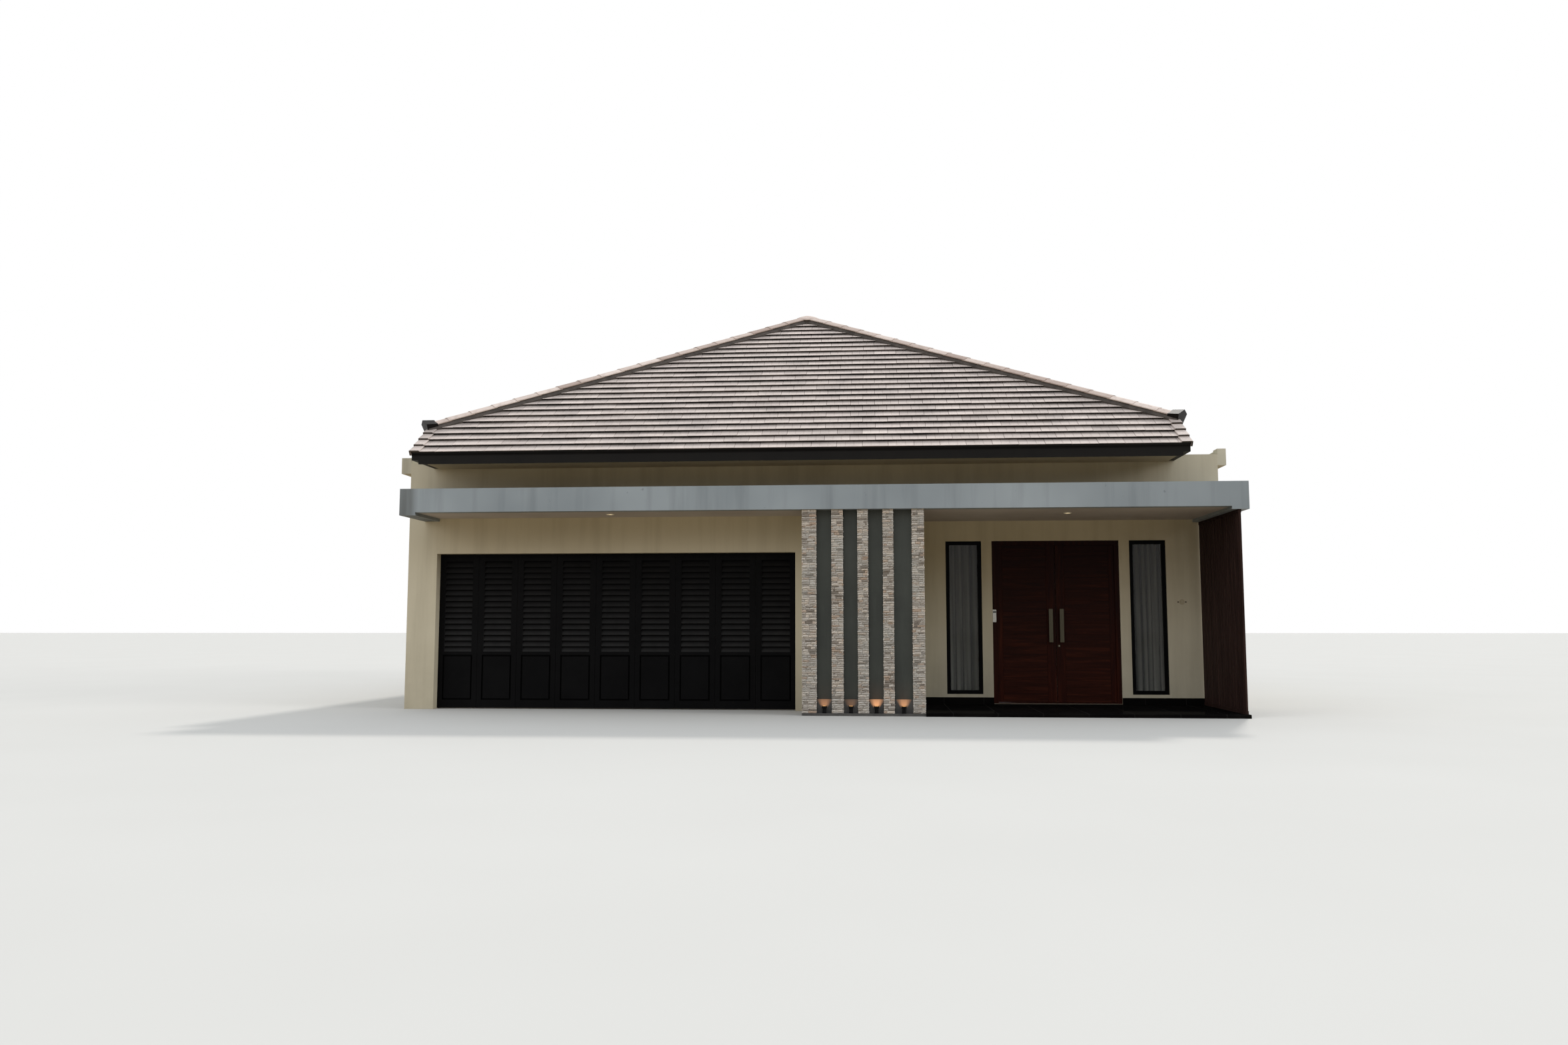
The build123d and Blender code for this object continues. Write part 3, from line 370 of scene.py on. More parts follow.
def timber(name, dark, mid, light, grain_axis, roughness=0.45, painted_top_shade=0.0):
    """Varnished wood whose grain runs along one axis; it may carry painted shade, darker towards the top and
    lighter towards the ground.
    """
    s = Shader(name, roughness, 0.05)
    stretch = [14.0, 14.0, 14.0]
    stretch[grain_axis] = 0.9
    tone = s.attribute("tone")
    shift = s.node("ShaderNodeCombineXYZ", X=s.times(tone, 7.0), Y=s.times(tone, 3.0), Z=s.times(tone, 5.0))
    figure = s.noise(1.3, 6.0, stretch, shift.outputs[0], roughness=0.6, distortion=0.6)
    fibre = s.noise(6.0, 5.0, stretch, shift.outputs[0])
    colour = s.ramp(figure, (0.3, dark), (0.52, mid), (0.75, light))
    colour = s.stain(colour, fibre, 0.5, 0.75, 0.45, dark)
    # Painted shade: darker high up and lighter near the ground.
    height = s.grey(s.axis(2), 2.3, 0.2, 1.0 - painted_top_shade, 1.0 + painted_top_shade)
    colour = s.shaded(colour, s.times(s.grey(tone, 0.0, 1.0, 0.85, 1.15), height))
    s.finish(colour, None, s.bump(fibre, 0.12, 0.002))


def frame_metal():
    """Nearly black paint with a little dust near the ground."""
    s = Shader("frame_metal", 0.4, 0.03)
    colour = s.blend(s.noise(2.5, 4.0), rgb(6, 6, 7), rgb(11, 11, 12), 0.75)
    dust = s.times(s.grey(s.axis(2), 0.5, 0.0), s.grey(s.noise(14.0, 4.0), 0.4, 0.7, 0.0, 0.03))
    colour = s.mix(dust, colour, rgb(110, 104, 96))
    s.finish(colour, s.grey(s.noise(11.0), 0.3, 0.7, 0.34, 0.5), s.bump(s.noise(240.0, 2.0), 0.06, 0.001))


def folding_door_paint():
    """Charcoal paint, painted black as shade in the panels' grooves, with dust and painted light on the
    louvres' fronts that grow towards the bottom.
    """
    s = Shader("folding_door_paint", 0.5, 0.03)
    colour = s.blend(s.noise(2.5, 4.0), rgb(12, 12, 13), rgb(17, 17, 18), 0.75)
    depth = s.math("SUBTRACT", s.axis(1), GARAGE_DOOR_FACE)
    louvres = s.math("GREATER_THAN", s.axis(2), PANELS_TOP)
    # Painted shade: the grooves and their bevels are made black.
    groove_shade = s.times(s.math("SUBTRACT", 1.0, louvres), s.grey(depth, 0.0003, 0.002))
    colour = s.mix(groove_shade, colour, rgb(1, 1, 1))
    # Dust and painted light: the front part of each louvre is lighter, its deeper part under the next louvre
    # is not, and the lightening grows towards the bottom.
    fronts = s.times(s.grey(depth, 0.0005, 0.0015), s.grey(depth, 0.024, 0.01))
    dust = s.times(s.grey(s.axis(2), 2.1, 0.85, 0.08, 0.3), s.grey(s.noise(6.0), 0.3, 0.7, 0.7, 1.0))
    colour = s.mix(s.times(louvres, fronts, dust), colour, rgb(76, 76, 77))
    s.finish(colour, s.grey(s.noise(11.0), 0.3, 0.7, 0.44, 0.6), s.bump(s.noise(240.0, 2.0), 0.06, 0.001))


def polished_granite():
    """Black polished granite slabs with fine flecks, pale joints and a little dust."""
    s = Shader("polished_granite", 0.05, 0.0, metallic=0.04)
    flecks = s.noise(260.0, 2.0)
    colour = s.ramp(flecks, (0.35, rgb(9, 9, 9)), (0.62, rgb(15, 14, 14)), (0.74, rgb(42, 40, 39)))
    colour = s.mix(s.joints(s.math("ADD", s.axis(0), 0.2), 0.6, 0.006), colour, rgb(52, 51, 50))
    colour = s.stain(colour, s.noise(2.5, 4.0), 0.45, 0.75, 0.04, rgb(90, 86, 80))
    s.finish(colour, s.grey(s.noise(5.0), 0.3, 0.75, 0.03, 0.08))


def floor_tile():
    """Pale square floor tiles with darker, sunk joints."""
    s = Shader("floor_tile", 0.3, 0.45)
    joints = s.math("MAXIMUM", s.joints(s.axis(0), 0.6, 0.008), s.joints(s.axis(1), 0.6, 0.008))
    colour = s.blend(s.noise(3.0, 4.0), rgb(176, 170, 160), rgb(196, 190, 180))
    colour = s.mix(joints, colour, rgb(120, 114, 106))
    s.finish(colour, None, s.bump(s.math("SUBTRACT", 1.0, joints), 0.3, 0.002))


def brushed_steel():
    """Warm grey steel with upright brush marks."""
    s = Shader("brushed_steel", 0.36, metallic=1.0)
    lines = s.noise(40.0, 3.0, (8.0, 8.0, 0.15))
    colour = s.blend(lines, rgb(52, 49, 40), rgb(74, 69, 57))
    s.finish(colour, s.grey(lines, 0.3, 0.7, 0.26, 0.42), s.bump(lines, 0.06, 0.0006))


def clear_glass():
    """Glass that is mostly clear, with faint smears."""
    s = Shader("clear_glass", 0.02, 0.6)
    smear = s.noise(3.0)
    s.fill(s.surface, Alpha=0.22)
    s.finish(s.blend(smear, rgb(26, 32, 32), rgb(34, 40, 40)), s.grey(smear, 0.3, 0.7, 0.015, 0.04))


def sheer_cloth():
    """Grey-white sheer cloth, with painted shade in its creases and across its folds, darker towards its top
    and lighter near its bottom.
    """
    s = Shader("sheer_cloth", 0.9, 0.1)
    threads = s.noise(900.0, 1.0, (1.0, 1.0, 0.35))
    folds = s.noise(5.0, 3.0, (6.0, 6.0, 0.2))
    # Painted shade of the folds: upright bands of lighter and darker cloth.
    colour = s.blend(folds, rgb(146, 146, 140), rgb(176, 176, 168))
    colour = s.stain(colour, threads, 0.4, 0.65, 0.25, rgb(118, 118, 112))
    # Painted shade in the creases, from each face's tone.
    colour = s.mix(s.attribute("tone"), rgb(40, 42, 40), colour)
    # Painted shade: darker towards the top, lighter near the bottom.
    colour = s.shaded(colour, s.grey(s.axis(2), 0.2, 2.4, 1.35, 0.75))
    s.finish(colour, None, s.bump(threads, 0.2, 0.001))


def lamp_glass(name, colour, strength):
    """A lens that glows evenly."""
    s = Shader(name, 0.25)
    fine = s.blend(s.noise(60.0, 2.0), colour, tuple(min(c * 1.1, 1.0) for c in colour))
    s.finish(fine, emission=fine, strength=strength)


def plain(name, colour, other, scale=20.0, roughness=0.5, metallic=0.0, grain=0.05, specular=0.5):
    """A simple finish that still varies a little in tone, gloss and grain."""
    s = Shader(name, roughness, specular, metallic)
    patches = s.noise(scale, 4.0)
    gloss = s.grey(patches, 0.3, 0.7, max(roughness - 0.06, 0.03), roughness + 0.06)
    s.finish(s.blend(patches, colour, other, 0.75), gloss, s.bump(s.noise(scale * 12, 2.0), grain, 0.001))


for make_material in (
    canopy_paint, slab_paint, tile_concrete, cap_concrete, ledge_stone, niche_paint, kerb_stone, frame_metal,
    folding_door_paint, polished_granite, floor_tile, brushed_steel, clear_glass, sheer_cloth,
):
    make_material()
painted_wall("cream_render", rgb(203, 196, 176), rgb(146, 138, 118))
painted_wall("gutter_render", rgb(203, 198, 180), rgb(120, 114, 98), streak=0.5)
painted_wall("soffit_paint", rgb(196, 194, 192), rgb(150, 148, 146), streak=0.08, grain=0.05)
painted_wall("eave_paint", rgb(196, 184, 158), rgb(140, 128, 104), streak=0.1, grain=0.05)
timber("door_boards", rgb(28, 10, 7), rgb(42, 17, 11), rgb(62, 28, 18), 0, painted_top_shade=0.45)
timber("door_stiles", rgb(28, 9, 7), rgb(43, 16, 10), rgb(64, 28, 17), 2, painted_top_shade=0.4)
timber("screen_boards", rgb(34, 23, 21), rgb(48, 34, 31), rgb(66, 48, 43), 2, roughness=0.6)
lamp_glass("lamp_lens", rgb(255, 226, 180), 1.6)
lamp_glass("niche_lens", rgb(255, 186, 112), 0.9)
# Mortar under the caps, dark enough to stand for the shade beside them as well.
plain("cap_mortar_and_shade", rgb(70, 66, 64), rgb(98, 92, 88), 9.0, 0.95, grain=0.4, specular=0.1)
plain("black_board", rgb(14, 12, 11), rgb(22, 20, 18), 3.0, specular=0.12)
plain("keypad_white", rgb(222, 226, 228), rgb(236, 238, 240), 40.0, 0.3)
plain("dark_plastic", rgb(20, 20, 21), rgb(30, 30, 31), 60.0, 0.4)
plain("lamp_black", rgb(5, 5, 6), rgb(9, 9, 10), 60.0, specular=0.1)
plain("lamp_white", rgb(214, 212, 206), rgb(226, 224, 218), 60.0, 0.45)
plain("hinge_metal", rgb(120, 112, 100), rgb(140, 132, 120), 60.0, 0.4, 1.0)
plain("sill_metal", rgb(104, 96, 84), rgb(122, 114, 102), 30.0, 0.45, 0.6)
plain("wall_plug", rgb(52, 45, 38), rgb(70, 62, 52), 80.0, 0.7)
plain("wall_patch", rgb(166, 155, 134), rgb(190, 180, 158), 40.0, 0.8, specular=0.2)

# The material of each node that is shown as it was built; the other ones are of cream render
LOOKS = {
    "canopy_paint": "canopy_front_beam canopy_side_beams",
    "slab_paint": "canopy_slab",
    "soffit_paint": "ceiling_slab",
    "eave_paint": "eave_soffits",
    "gutter_render": "left_gutter right_gutter",
    "black_board": "roof_fascias verge_boards",
    "niche_paint": "feature_panel",
    "kerb_stone": "niche_kerb",
    "folding_door_paint": "garage_door_leaves garage_door_track",
    "frame_metal": "window_frames curtain_rails",
    "clear_glass": "window_glass",
    "door_stiles": "door_frame",
    "brushed_steel": "left_door_handle right_door_handle",
    "screen_boards": "porch_screen",
    "polished_granite": "porch_step porch_skirting",
    "floor_tile": "garage_floor house_floor",
}
LOOK_OF = {node: look for look, nodes in LOOKS.items() for node in nodes.split()}
for piece in list(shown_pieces()):
    piece.data.materials.clear()
    piece.data.materials.append(MATERIALS[LOOK_OF.get(piece.get("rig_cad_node"), "cream_render")])


# Mesh building


def bands(sides, rings, first=0):
    """Faces between successive rings of points, of which the first starts at a given index."""
    return [
        (a + k, a + (k + 1) % sides, a + sides + (k + 1) % sides, a + sides + k)
        for a in range(first, first + (rings - 1) * sides, sides) for k in range(sides)
    ]


def circle(sides, radius):
    turns = [2 * math.pi * k / sides for k in range(sides)]
    return [(radius * math.cos(turn), radius * math.sin(turn)) for turn in turns]


def placed(name, data):
    """A new object in the scene."""
    obj = bpy.data.objects.new(name, data)
    bpy.context.scene.collection.objects.link(obj)
    return obj


class Mesher:
    """Collects faces with a tone, an edge value (how much of the tiles' painted nose shade they take) and a
    material slot each, and turns them into one piece.
    """

    def __init__(self):
        self.points = []
        self.rises = []
        self.faces = []
        self.traits = []

    def add(self, points, faces, tone=0.5, edge=0.0, slot=0, rises=None):
        self.points.extend(tuple(p) for p in points)
        self.rises.extend(rises or [0.0] * len(points))
        self.extend(faces, len(points), tone, edge, slot)

    def extend(self, faces, count, tone=0.5, edge=0.0, slot=0):
        """More faces on the last points that were added, with another tone or edge value."""
        start = len(self.points) - count
        self.faces.extend([start + i for i in face] for face in faces)
        self.traits.extend([(tone, edge, slot)] * len(faces))

    def loft(self, rings, tone=0.5, edge=0.0, slot=0, ends=True):
        """Faces from ring to ring, and over both ends or else from the last ring back to the first."""
        n, last = len(rings[0]), (len(rings) - 1) * len(rings[0])
        faces = bands(n, len(rings))
        if ends:
            faces += [range(n), range(last, last + n)]
        else:
            faces += [(last + k, last + (k + 1) % n, (k + 1) % n, k) for k in range(n)]
        self.add([p for ring in rings for p in ring], faces, tone, edge, slot)

    def box(self, lo, hi, tone=0.5, chamfer=0.001, slot=0):
        """A box whose edges are cut back by the chamfer, with three points at each of its corners."""
        points = []
        for corner in ((x, y, z) for x in (0, 1) for y in (0, 1) for z in (0, 1)):
            for kept in range(3):
                points.append([
                    (lo, hi)[end][i] + (0 if i == kept else chamfer * (1 - 2 * end))
                    for i, end in enumerate(corner)
                ])
        faces = [(3 * c, 3 * c + 1, 3 * c + 2) for c in range(8)]
        for k in range(3):
            a, b = (k + 1) % 3, (k + 2) % 3
            along, across, beside = 4 >> k, 4 >> a, 4 >> b
            for c in (0, across, beside, across + beside):
                d = c + along
                faces.append((3 * c + a, 3 * c + b, 3 * d + b, 3 * d + a))
            for c in (0, along):
                faces.append([3 * d + k for d in (c, c + across, c + across + beside, c + beside)])
        self.add(points, faces, tone, 0.0, slot)

    def disc(self, centre, axis, radius, depth, sides=24, slot=0, chamfer=0.0, far_radius=None):
        """A closed round bar from centre along axis, which is a unit direction."""
        axis = Vector(axis)
        side = axis.orthogonal().normalized()
        other = axis.cross(side)
        far_radius = far_radius or radius
        rings = [(0.0, radius), (depth - chamfer, far_radius)]
        if chamfer:
            rings.append((depth, far_radius - chamfer))
        self.loft([
            [Vector(centre) + axis * along + side * x + other * y for x, y in circle(sides, r)]
            for along, r in rings
        ], slot=slot)

    def make(self, name, materials, replaces=(), body="root", cloth=False):
        """The piece; cloth is one open, smooth surface, and all else is closed shells with flat faces."""
        mesh = bpy.data.meshes.new(name)
        mesh.from_pydata(self.points, [], self.faces)
        tones, edges, slots = zip(*self.traits)
        for label, domain, values in (
            ("tone", "FACE", tones), ("edge", "FACE", edges), ("rise", "POINT", self.rises)
        ):
            mesh.attributes.new(label, "FLOAT", domain).data.foreach_set("value", values)
        mesh.polygons.foreach_set("material_index", slots)
        mesh.polygons.foreach_set("use_smooth", [cloth] * len(self.faces))
        for material in materials:
            mesh.materials.append(MATERIALS[material])
        if not cloth:
            shells = bmesh.new()
            shells.from_mesh(mesh)
            bmesh.ops.recalc_face_normals(shells, faces=shells.faces)
            shells.to_mesh(mesh)
            shells.free()
        mesh.update()
        obj = placed(name, mesh)
        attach(obj, body)
        if replaces:
            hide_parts(*replaces)
        return obj


# Roof tiles


def clipped(polygon, line):
    """The part of a convex polygon where a*x + b*y <= c."""
    a, b, c = line
    kept = []
    for i, p in enumerate(polygon):
        q = polygon[(i + 1) % len(polygon)]
        dp = a * p[0] + b * p[1] - c
        dq = a * q[0] + b * q[1] - c
        if dp <= 0:
            kept.append(p)
        if (dp < 0 < dq) or (dq < 0 < dp):
            t = dp / (dp - dq)
            kept.append((p[0] + t * (q[0] - p[0]), p[1] + t * (q[1] - p[1])))
    return kept


def polygon_area(polygon):
    return 0.5 * sum(p[0] * q[1] - q[0] * p[1] for p, q in zip(polygon, polygon[1:] + polygon[:1]))


def inset(polygon, distance):
    """A convex, counter-clockwise polygon moved in by a distance on every side."""
    out = []
    for i, p1 in enumerate(polygon):
        p0, p2 = polygon[i - 1], polygon[(i + 1) % len(polygon)]
        d1 = Vector((p1[0] - p0[0], p1[1] - p0[1])).normalized()
        d2 = Vector((p2[0] - p1[0], p2[1] - p1[1])).normalized()
        n1, n2 = Vector((-d1.y, d1.x)), Vector((-d2.y, d2.x))
        middle = n1 + n2
        reach = max(middle.dot(n1), 0.35)
        out.append((p1[0] + middle.x * distance / reach, p1[1] + middle.y * distance / reach))
    return out


class Slope:
    """A roof slope: its own directions across and up, its half-width at the eave and at the top, the level on
    it where its hips start, and its run up to the ridge."""

    def __init__(self, origin, across, up, half, half_top, foot):
        self.origin = Vector(origin)
        self.across = Vector(across)
        self.up = Vector(up).normalized()
        self.normal = self.across.cross(self.up).normalized()
        self.half = half
        self.run = run = (RIDGE_LEVEL - origin[2]) * math.hypot(*up) / up[2]
        taper = (half - half_top) / (run - foot)
        limit = half + taper * foot
        self.lines = [(1, taper, limit), (-1, taper, limit), (0, 1, run), (1, 0, half), (-1, 0, half)]

    def at(self, v, u, w):
        return self.origin + self.across * v + self.up * u + self.normal * w

    def top(self, course, u):
        return LIP * (1 - (u - course * COURSE) / COURSE)

    def clip(self, polygon):
        """The part of a polygon on the slope, without slivers and doubled corners."""
        least, smallest = 0.002, 0.0006
        for line in self.lines:
            polygon = clipped(polygon, line)
            if len(polygon) < 3:
                return []
        tidy = []
        for p in polygon:
            if not tidy or math.dist(p, tidy[-1]) > least:
                tidy.append(p)
        if len(tidy) > 2 and math.dist(tidy[0], tidy[-1]) <= least:
            tidy.pop()
        return tidy if len(tidy) > 2 and polygon_area(tidy) > smallest else []


def add_tile_strip(mesher, slope, course, v0, v1, tone, lift, tilt):
    """One scored strip of a tile, from its exposed edge to a little way under the next course."""
    u0 = course * COURSE
    u1 = u0 + COURSE + TILE_LAP
    polygon = slope.clip([(v0, u0), (v1, u0), (v1, u1), (v0, u1)])
    if not polygon:
        return
    middle = (v0 + v1) / 2

    def level(v, u):
        return slope.top(course, u) + lift + tilt * (v - middle)

    inner = inset(polygon, TILE_CHAMFER)
    if polygon_area(inner) < 0.3 * polygon_area(polygon):
        inner = polygon
    rings = (polygon, TILE_THICKNESS), (polygon, TILE_CHAMFER), (inner, 0.0)
    points = [slope.at(v, u, level(v, u) - sunk) for outline, sunk in rings for v, u in outline]
    # How far up its course each point lies, for the painted shade towards the back of each course.
    rises = [(u - u0) / COURSE for outline, _ in rings for _, u in outline]
    n = len(polygon)
    # Nose faces go in with edge 1, which the tile material paints dark as shade.
    dark, pale = [], []
    for k in range(n):
        j = (k + 1) % n
        at_nose = polygon[k][1] < u0 + 0.004 and polygon[j][1] < u0 + 0.004
        (dark if at_nose else pale).append((k, j, n + j, n + k))
        pale.append((n + k, n + j, 2 * n + j, 2 * n + k))
    mesher.add(points, dark, tone, 1.0, rises=rises)
    mesher.extend(pale + [range(n), range(2 * n, 3 * n)], len(points), tone)


def tile_slope(name, slope, seed):
    """The tiles of one slope, the deck under them and a filler behind the noses of the lowest course."""
    pick = random.Random(seed)
    mesher = Mesher()
    strip = TILE_WIDTH / STRIPS
    half = slope.half
    for course in range(int(slope.run / COURSE) + 1):
        shift = (course % 2) * TILE_WIDTH / 2 + pick.uniform(-0.004, 0.004)
        for k in range(int(2 * half / TILE_WIDTH) + 3):
            left = -half - TILE_WIDTH + shift + k * TILE_WIDTH
            tone = clamped(pick.gauss(0.45, 0.09))
            lift = pick.uniform(-0.0015, 0.0015)
            tilt = pick.uniform(-0.006, 0.006)
            for j in range(STRIPS):
                v0 = left + j * strip + (TILE_GAP if j == 0 else 0.0)
                v1 = left + (j + 1) * strip - (TILE_GAP if j == STRIPS - 1 else 0.0)
                shade = clamped(tone + pick.uniform(-0.04, 0.04))
                add_tile_strip(mesher, slope, course, v0, v1, shade, lift, tilt)
    outline = slope.clip([(-half, 0.0), (half, 0.0), (half, slope.run), (-half, slope.run)])
    deck = [[slope.at(v, u, w) for v, u in outline] for w in (-DECK, -TILE_THICKNESS - 0.009)]
    mesher.loft(deck, 0.2, slot=1)
    filler = (0.012, -0.03), (0.04, -0.03), (0.04, 0.008), (0.012, 0.008)
    mesher.loft([[slope.at(v, u, w) for u, w in filler] for v in (-half, half)], 0.2, slot=1)
    mesher.make(f"{name}_tiles", ["tile_concrete", "black_board"], [f"{name}_slope"])


END_SLOPES = [
    Slope((0, way * EAVE_TIP, EAVE_LEVEL), (way, 0, 0), (0, way, FRONT_TAN), ROOF_HALF, 0.0, HIP_FOOT_RUN)
    for way in (1, -1)
]
SIDE_SLOPES = [
    Slope((way * ROOF_HALF, 0, SIDE_EAVE), (0, way, 0), (-way, 0, SIDE_TAN), -HIP_FOOT, -RIDGE_START, 0.0)
    for way in (-1, 1)
]
for seed, (name, slope) in enumerate(zip(("front", "rear", "left", "right"), END_SLOPES + SIDE_SLOPES), 11):
    tile_slope(name, slope, seed)


# Caps along the hips, the ridge and the sloping ends of the eaves


def folded_bar(mesher, start, end, normals, sections, tone, slot=0):
    """A bar along a fold, from its section at the start to its section at the end.

    A section is the rise of its underside at the fold, the (out, rise) corners along a wing, and the rise of
    its top at the fold, which may be None.
    """
    direction = (end - start).normalized()
    fold = (Vector((0, 0, 1)) - direction * direction.z) / min(normals[0].z, normals[1].z)
    wings = []
    for normal, other in (normals, normals[::-1]):
        away = direction.cross(normal)
        wings.append((away if away.dot(other) < 0 else -away, normal))
    rings = []
    for place, (under, corners, over) in zip((start, end), sections):
        left, right = (
            [place + fold * LIP + away * out + normal * (rise - LIP) for out, rise in corners]
            for away, normal in wings
        )
        top = [] if over is None else [place + fold * over]
        rings.append([place + fold * under] + left + top + right[::-1])
    mesher.loft(rings, tone, slot=slot)


def cap_tile(mesher, start, end, normals, tone):
    """One folded cap tile, raised at its lower end where it laps over the one before."""
    sections = []
    for lift in (0.008, 0.0005):
        seat = LIP + CAP_BED + lift
        back = seat + CAP_THICKNESS
        corners = [
            (CAP_WING, seat), (CAP_WING, seat + 0.6 * CAP_THICKNESS),
            (CAP_WING - 0.008, back), (0.03, back + 0.004),
        ]
        sections.append((seat, corners, None))
    folded_bar(mesher, start, end, normals, sections, tone)


def cap_row(mesher, start, end, normals, pick):
    """A row of lapped cap tiles from start up to end, on their bed of mortar, whose dark fillet past the
    wings is also painted shade beside the caps.
    """
    total = (end - start).length
    direction = (end - start) / total
    count = max(1, round(total / CAP_PITCH))
    step = total / count
    for i in range(count):
        a = start + direction * (i * step - (0.03 if i else 0.0))
        b = start + direction * ((i + 1) * step + (0.0 if i == count - 1 else 0.01))
        cap_tile(mesher, a, b, normals, pick.random())
    # The dark mortar fillet reaches out past the caps' wings, standing in for their shadow on the tiles.
    reach, top = CAP_WING - BED_SETBACK, LIP + CAP_BED + 0.0005
    bed = 0.0, [(reach + 0.045, 0.0), (reach + 0.045, LIP + 0.002), (reach, top)], top
    folded_bar(mesher, start + direction * 0.004, end, normals, (bed, bed), 0.1, 1)


def hip_foot_block(mesher, start, up_hip, normals):
    """A black block that closes the foot of a hip; its top is less steep than the hip."""
    seat, low, reach = LIP + CAP_BED, -0.03, CAP_WING + 0.004
    sections = [(low, [(reach, low), (reach, high)], high) for high in (seat + 0.06, seat + 0.021)]
    folded_bar(mesher, start - up_hip * 0.006, start + up_hip * 0.16, normals, sections, 0.5, 2)


def roof_level(x, y, blend=0.03):
    """Height of the front end of the roof's deck, with its folds rounded by a soft minimum."""
    planes = (
        EAVE_LEVEL + (y - EAVE_TIP) * FRONT_TAN,
        SIDE_EAVE + (ROOF_HALF + x) * SIDE_TAN,
        SIDE_EAVE + (ROOF_HALF - x) * SIDE_TAN,
    )
    lowest = min(planes)
    return lowest - blend * math.log(sum(math.exp((lowest - p) / blend) for p in planes))


def apex_cap(mesher, end, radius, low, high, tone, slot):
    """A low dome where the two hips meet the ridge: end is -1 at the front and 1 at the rear."""
    sides, steps = 36, 6
    rings = [(radius * j / steps, high) for j in range(1, steps)]
    rings += [(radius, high - 0.006), (radius + 0.004, high - 0.014), (radius + 0.004, low)]
    places = [(0, 0, high)] + [(x, y, rise) for r, rise in rings for x, y in circle(sides, r)]
    points = [(x, -end * (RIDGE_START + y), roof_level(x, RIDGE_START + y) + rise) for x, y, rise in places]
    faces = [(0, 1 + k, 1 + (k + 1) % sides) for k in range(sides)] + bands(sides, len(rings), 1)
    faces.append(range(len(points) - sides, len(points)))
    mesher.add(points, faces, tone, 0.0, slot)


def hip_and_ridge_caps():
    """Cap tiles on the four hips and the ridge, which meet under a dome at each of its ends."""
    pick = random.Random(5)
    front, rear = (Vector((0, way * FRONT_TAN, 1)).normalized() for way in (-1, 1))
    left, right = (Vector((way * SIDE_TAN, 0, 1)).normalized() for way in (-1, 1))
    hips = Mesher()
    for sx, side_normal in ((-1, left), (1, right)):
        for sy, end_normal in ((-1, front), (1, rear)):
            foot = Vector((sx * ROOF_HALF, -sy * HIP_FOOT, SIDE_EAVE))
            apex = Vector((0, -sy * RIDGE_START, RIDGE_LEVEL))
            down = (foot - apex).normalized()
            start = foot + down * HIP_OVERHANG
            cap_row(hips, start, apex + down * 0.1, (end_normal, side_normal), pick)
            hip_foot_block(hips, start, -down, (end_normal, side_normal))
    hips.make("hip_cap_tiles", ["cap_concrete", "cap_mortar_and_shade", "black_board"], ["hip_caps"])
    ridge = Mesher()
    ends = [Vector((0, -way * (RIDGE_START + 0.1), RIDGE_LEVEL)) for way in (-1, 1)]
    cap_row(ridge, *ends, (left, right), pick)
    for end in (-1, 1):
        apex_cap(ridge, end, 0.2, 0.1, 0.122, 0.6, 0)
        apex_cap(ridge, end, 0.17, 0.0, 0.106, 0.1, 1)
    ridge.make("ridge_cap_tiles", ["cap_concrete", "cap_mortar_and_shade"], ["ridge_cap"])


def verge_tiles():
    """Lapped corner tiles that step with the courses at both ends of the lowered eaves."""
    mesher = Mesher()
    pick = random.Random(21)
    for slope in END_SLOPES:
        for side in (-1, 1):
            outer, shell, bevel, inner = (
                side * (ROOF_HALF + out) for out in (0.022, 0.0, 0.006 - VERGE_WIDTH, -VERGE_WIDTH)
            )
            for course in range(4):
                u0 = course * COURSE
                rings = []
                for u in (u0 - 0.012, min(u0 + COURSE + 0.03, HIP_FOOT_RUN + 0.1)):
                    w = slope.top(course, max(u, u0)) + 0.003
                    profile = (
                        (inner, w), (inner, w + 0.012), (bevel, w + 0.018), (shell, w + 0.02),
                        (outer, w + 0.014), (outer, w - 0.062), (shell, w - 0.062), (shell, w),
                    )
                    rings.append([slope.at(v, u, h) for v, h in profile])
                tone = clamped(pick.gauss(0.45, 0.15))
                # Every face of a verge tile takes a little of the dark nose colour, and its end over the
                # first ring most of it, as painted shade.
                mesher.loft(rings, tone, 0.15)
                nose = -2  # the loft's end over its first ring
                mesher.traits[nose] = tone, 0.9, 0
    mesher.make("verge_cap_tiles", ["tile_concrete"], ["verge_caps"])


hip_and_ridge_caps()
verge_tiles()


# Stone fins


def stone_block(mesher, lo, hi, face_axis, outward, pick, tone):
    """A split stone: its outer face is a small grid pushed in and out, its back runs into the core."""
    across = 1 - face_axis
    columns, rows = max(2, round((hi[across] - lo[across]) / STONE_GRID)), 2
    outer, back = (hi, lo) if outward > 0 else (lo, hi)
    points = []
    for j in range(rows + 1):
        for i in range(columns + 1):
            rim = i in (0, columns) or j in (0, rows)
            push = -pick.uniform(0.003, 0.006) if rim else pick.uniform(-0.002, 0.004)
            p = [0.0, 0.0, lo[2] + (hi[2] - lo[2]) * j / rows + STONE_RIM * ((j == 0) - (j == rows))]
            p[across] = lo[across] + (hi[across] - lo[across]) * i / columns
            p[across] += STONE_RIM * ((i == 0) - (i == columns))
            p[face_axis] = outer[face_axis] + outward * push
            points.append(p)
    grid = [range(j * (columns + 1), (j + 1) * (columns + 1)) for j in range(rows + 1)]
    faces = [
        (grid[j][i], grid[j][i + 1], grid[j + 1][i + 1], grid[j + 1][i])
        for j in range(rows) for i in range(columns)
    ]
    border = [*grid[0], *(line[-1] for line in grid[1:])]
    border += [*grid[-1][-2::-1], *(line[0] for line in grid[-2:0:-1])]
    count = len(points)
    for k, (a, b) in enumerate(zip(border, border[1:] + border[:1])):
        p = list(points[a])
        p[face_axis] = back[face_axis]
        points.append(p)
        faces.append((b, a, count + k, count + (k + 1) % len(border)))
    mesher.add(points, faces, tone)


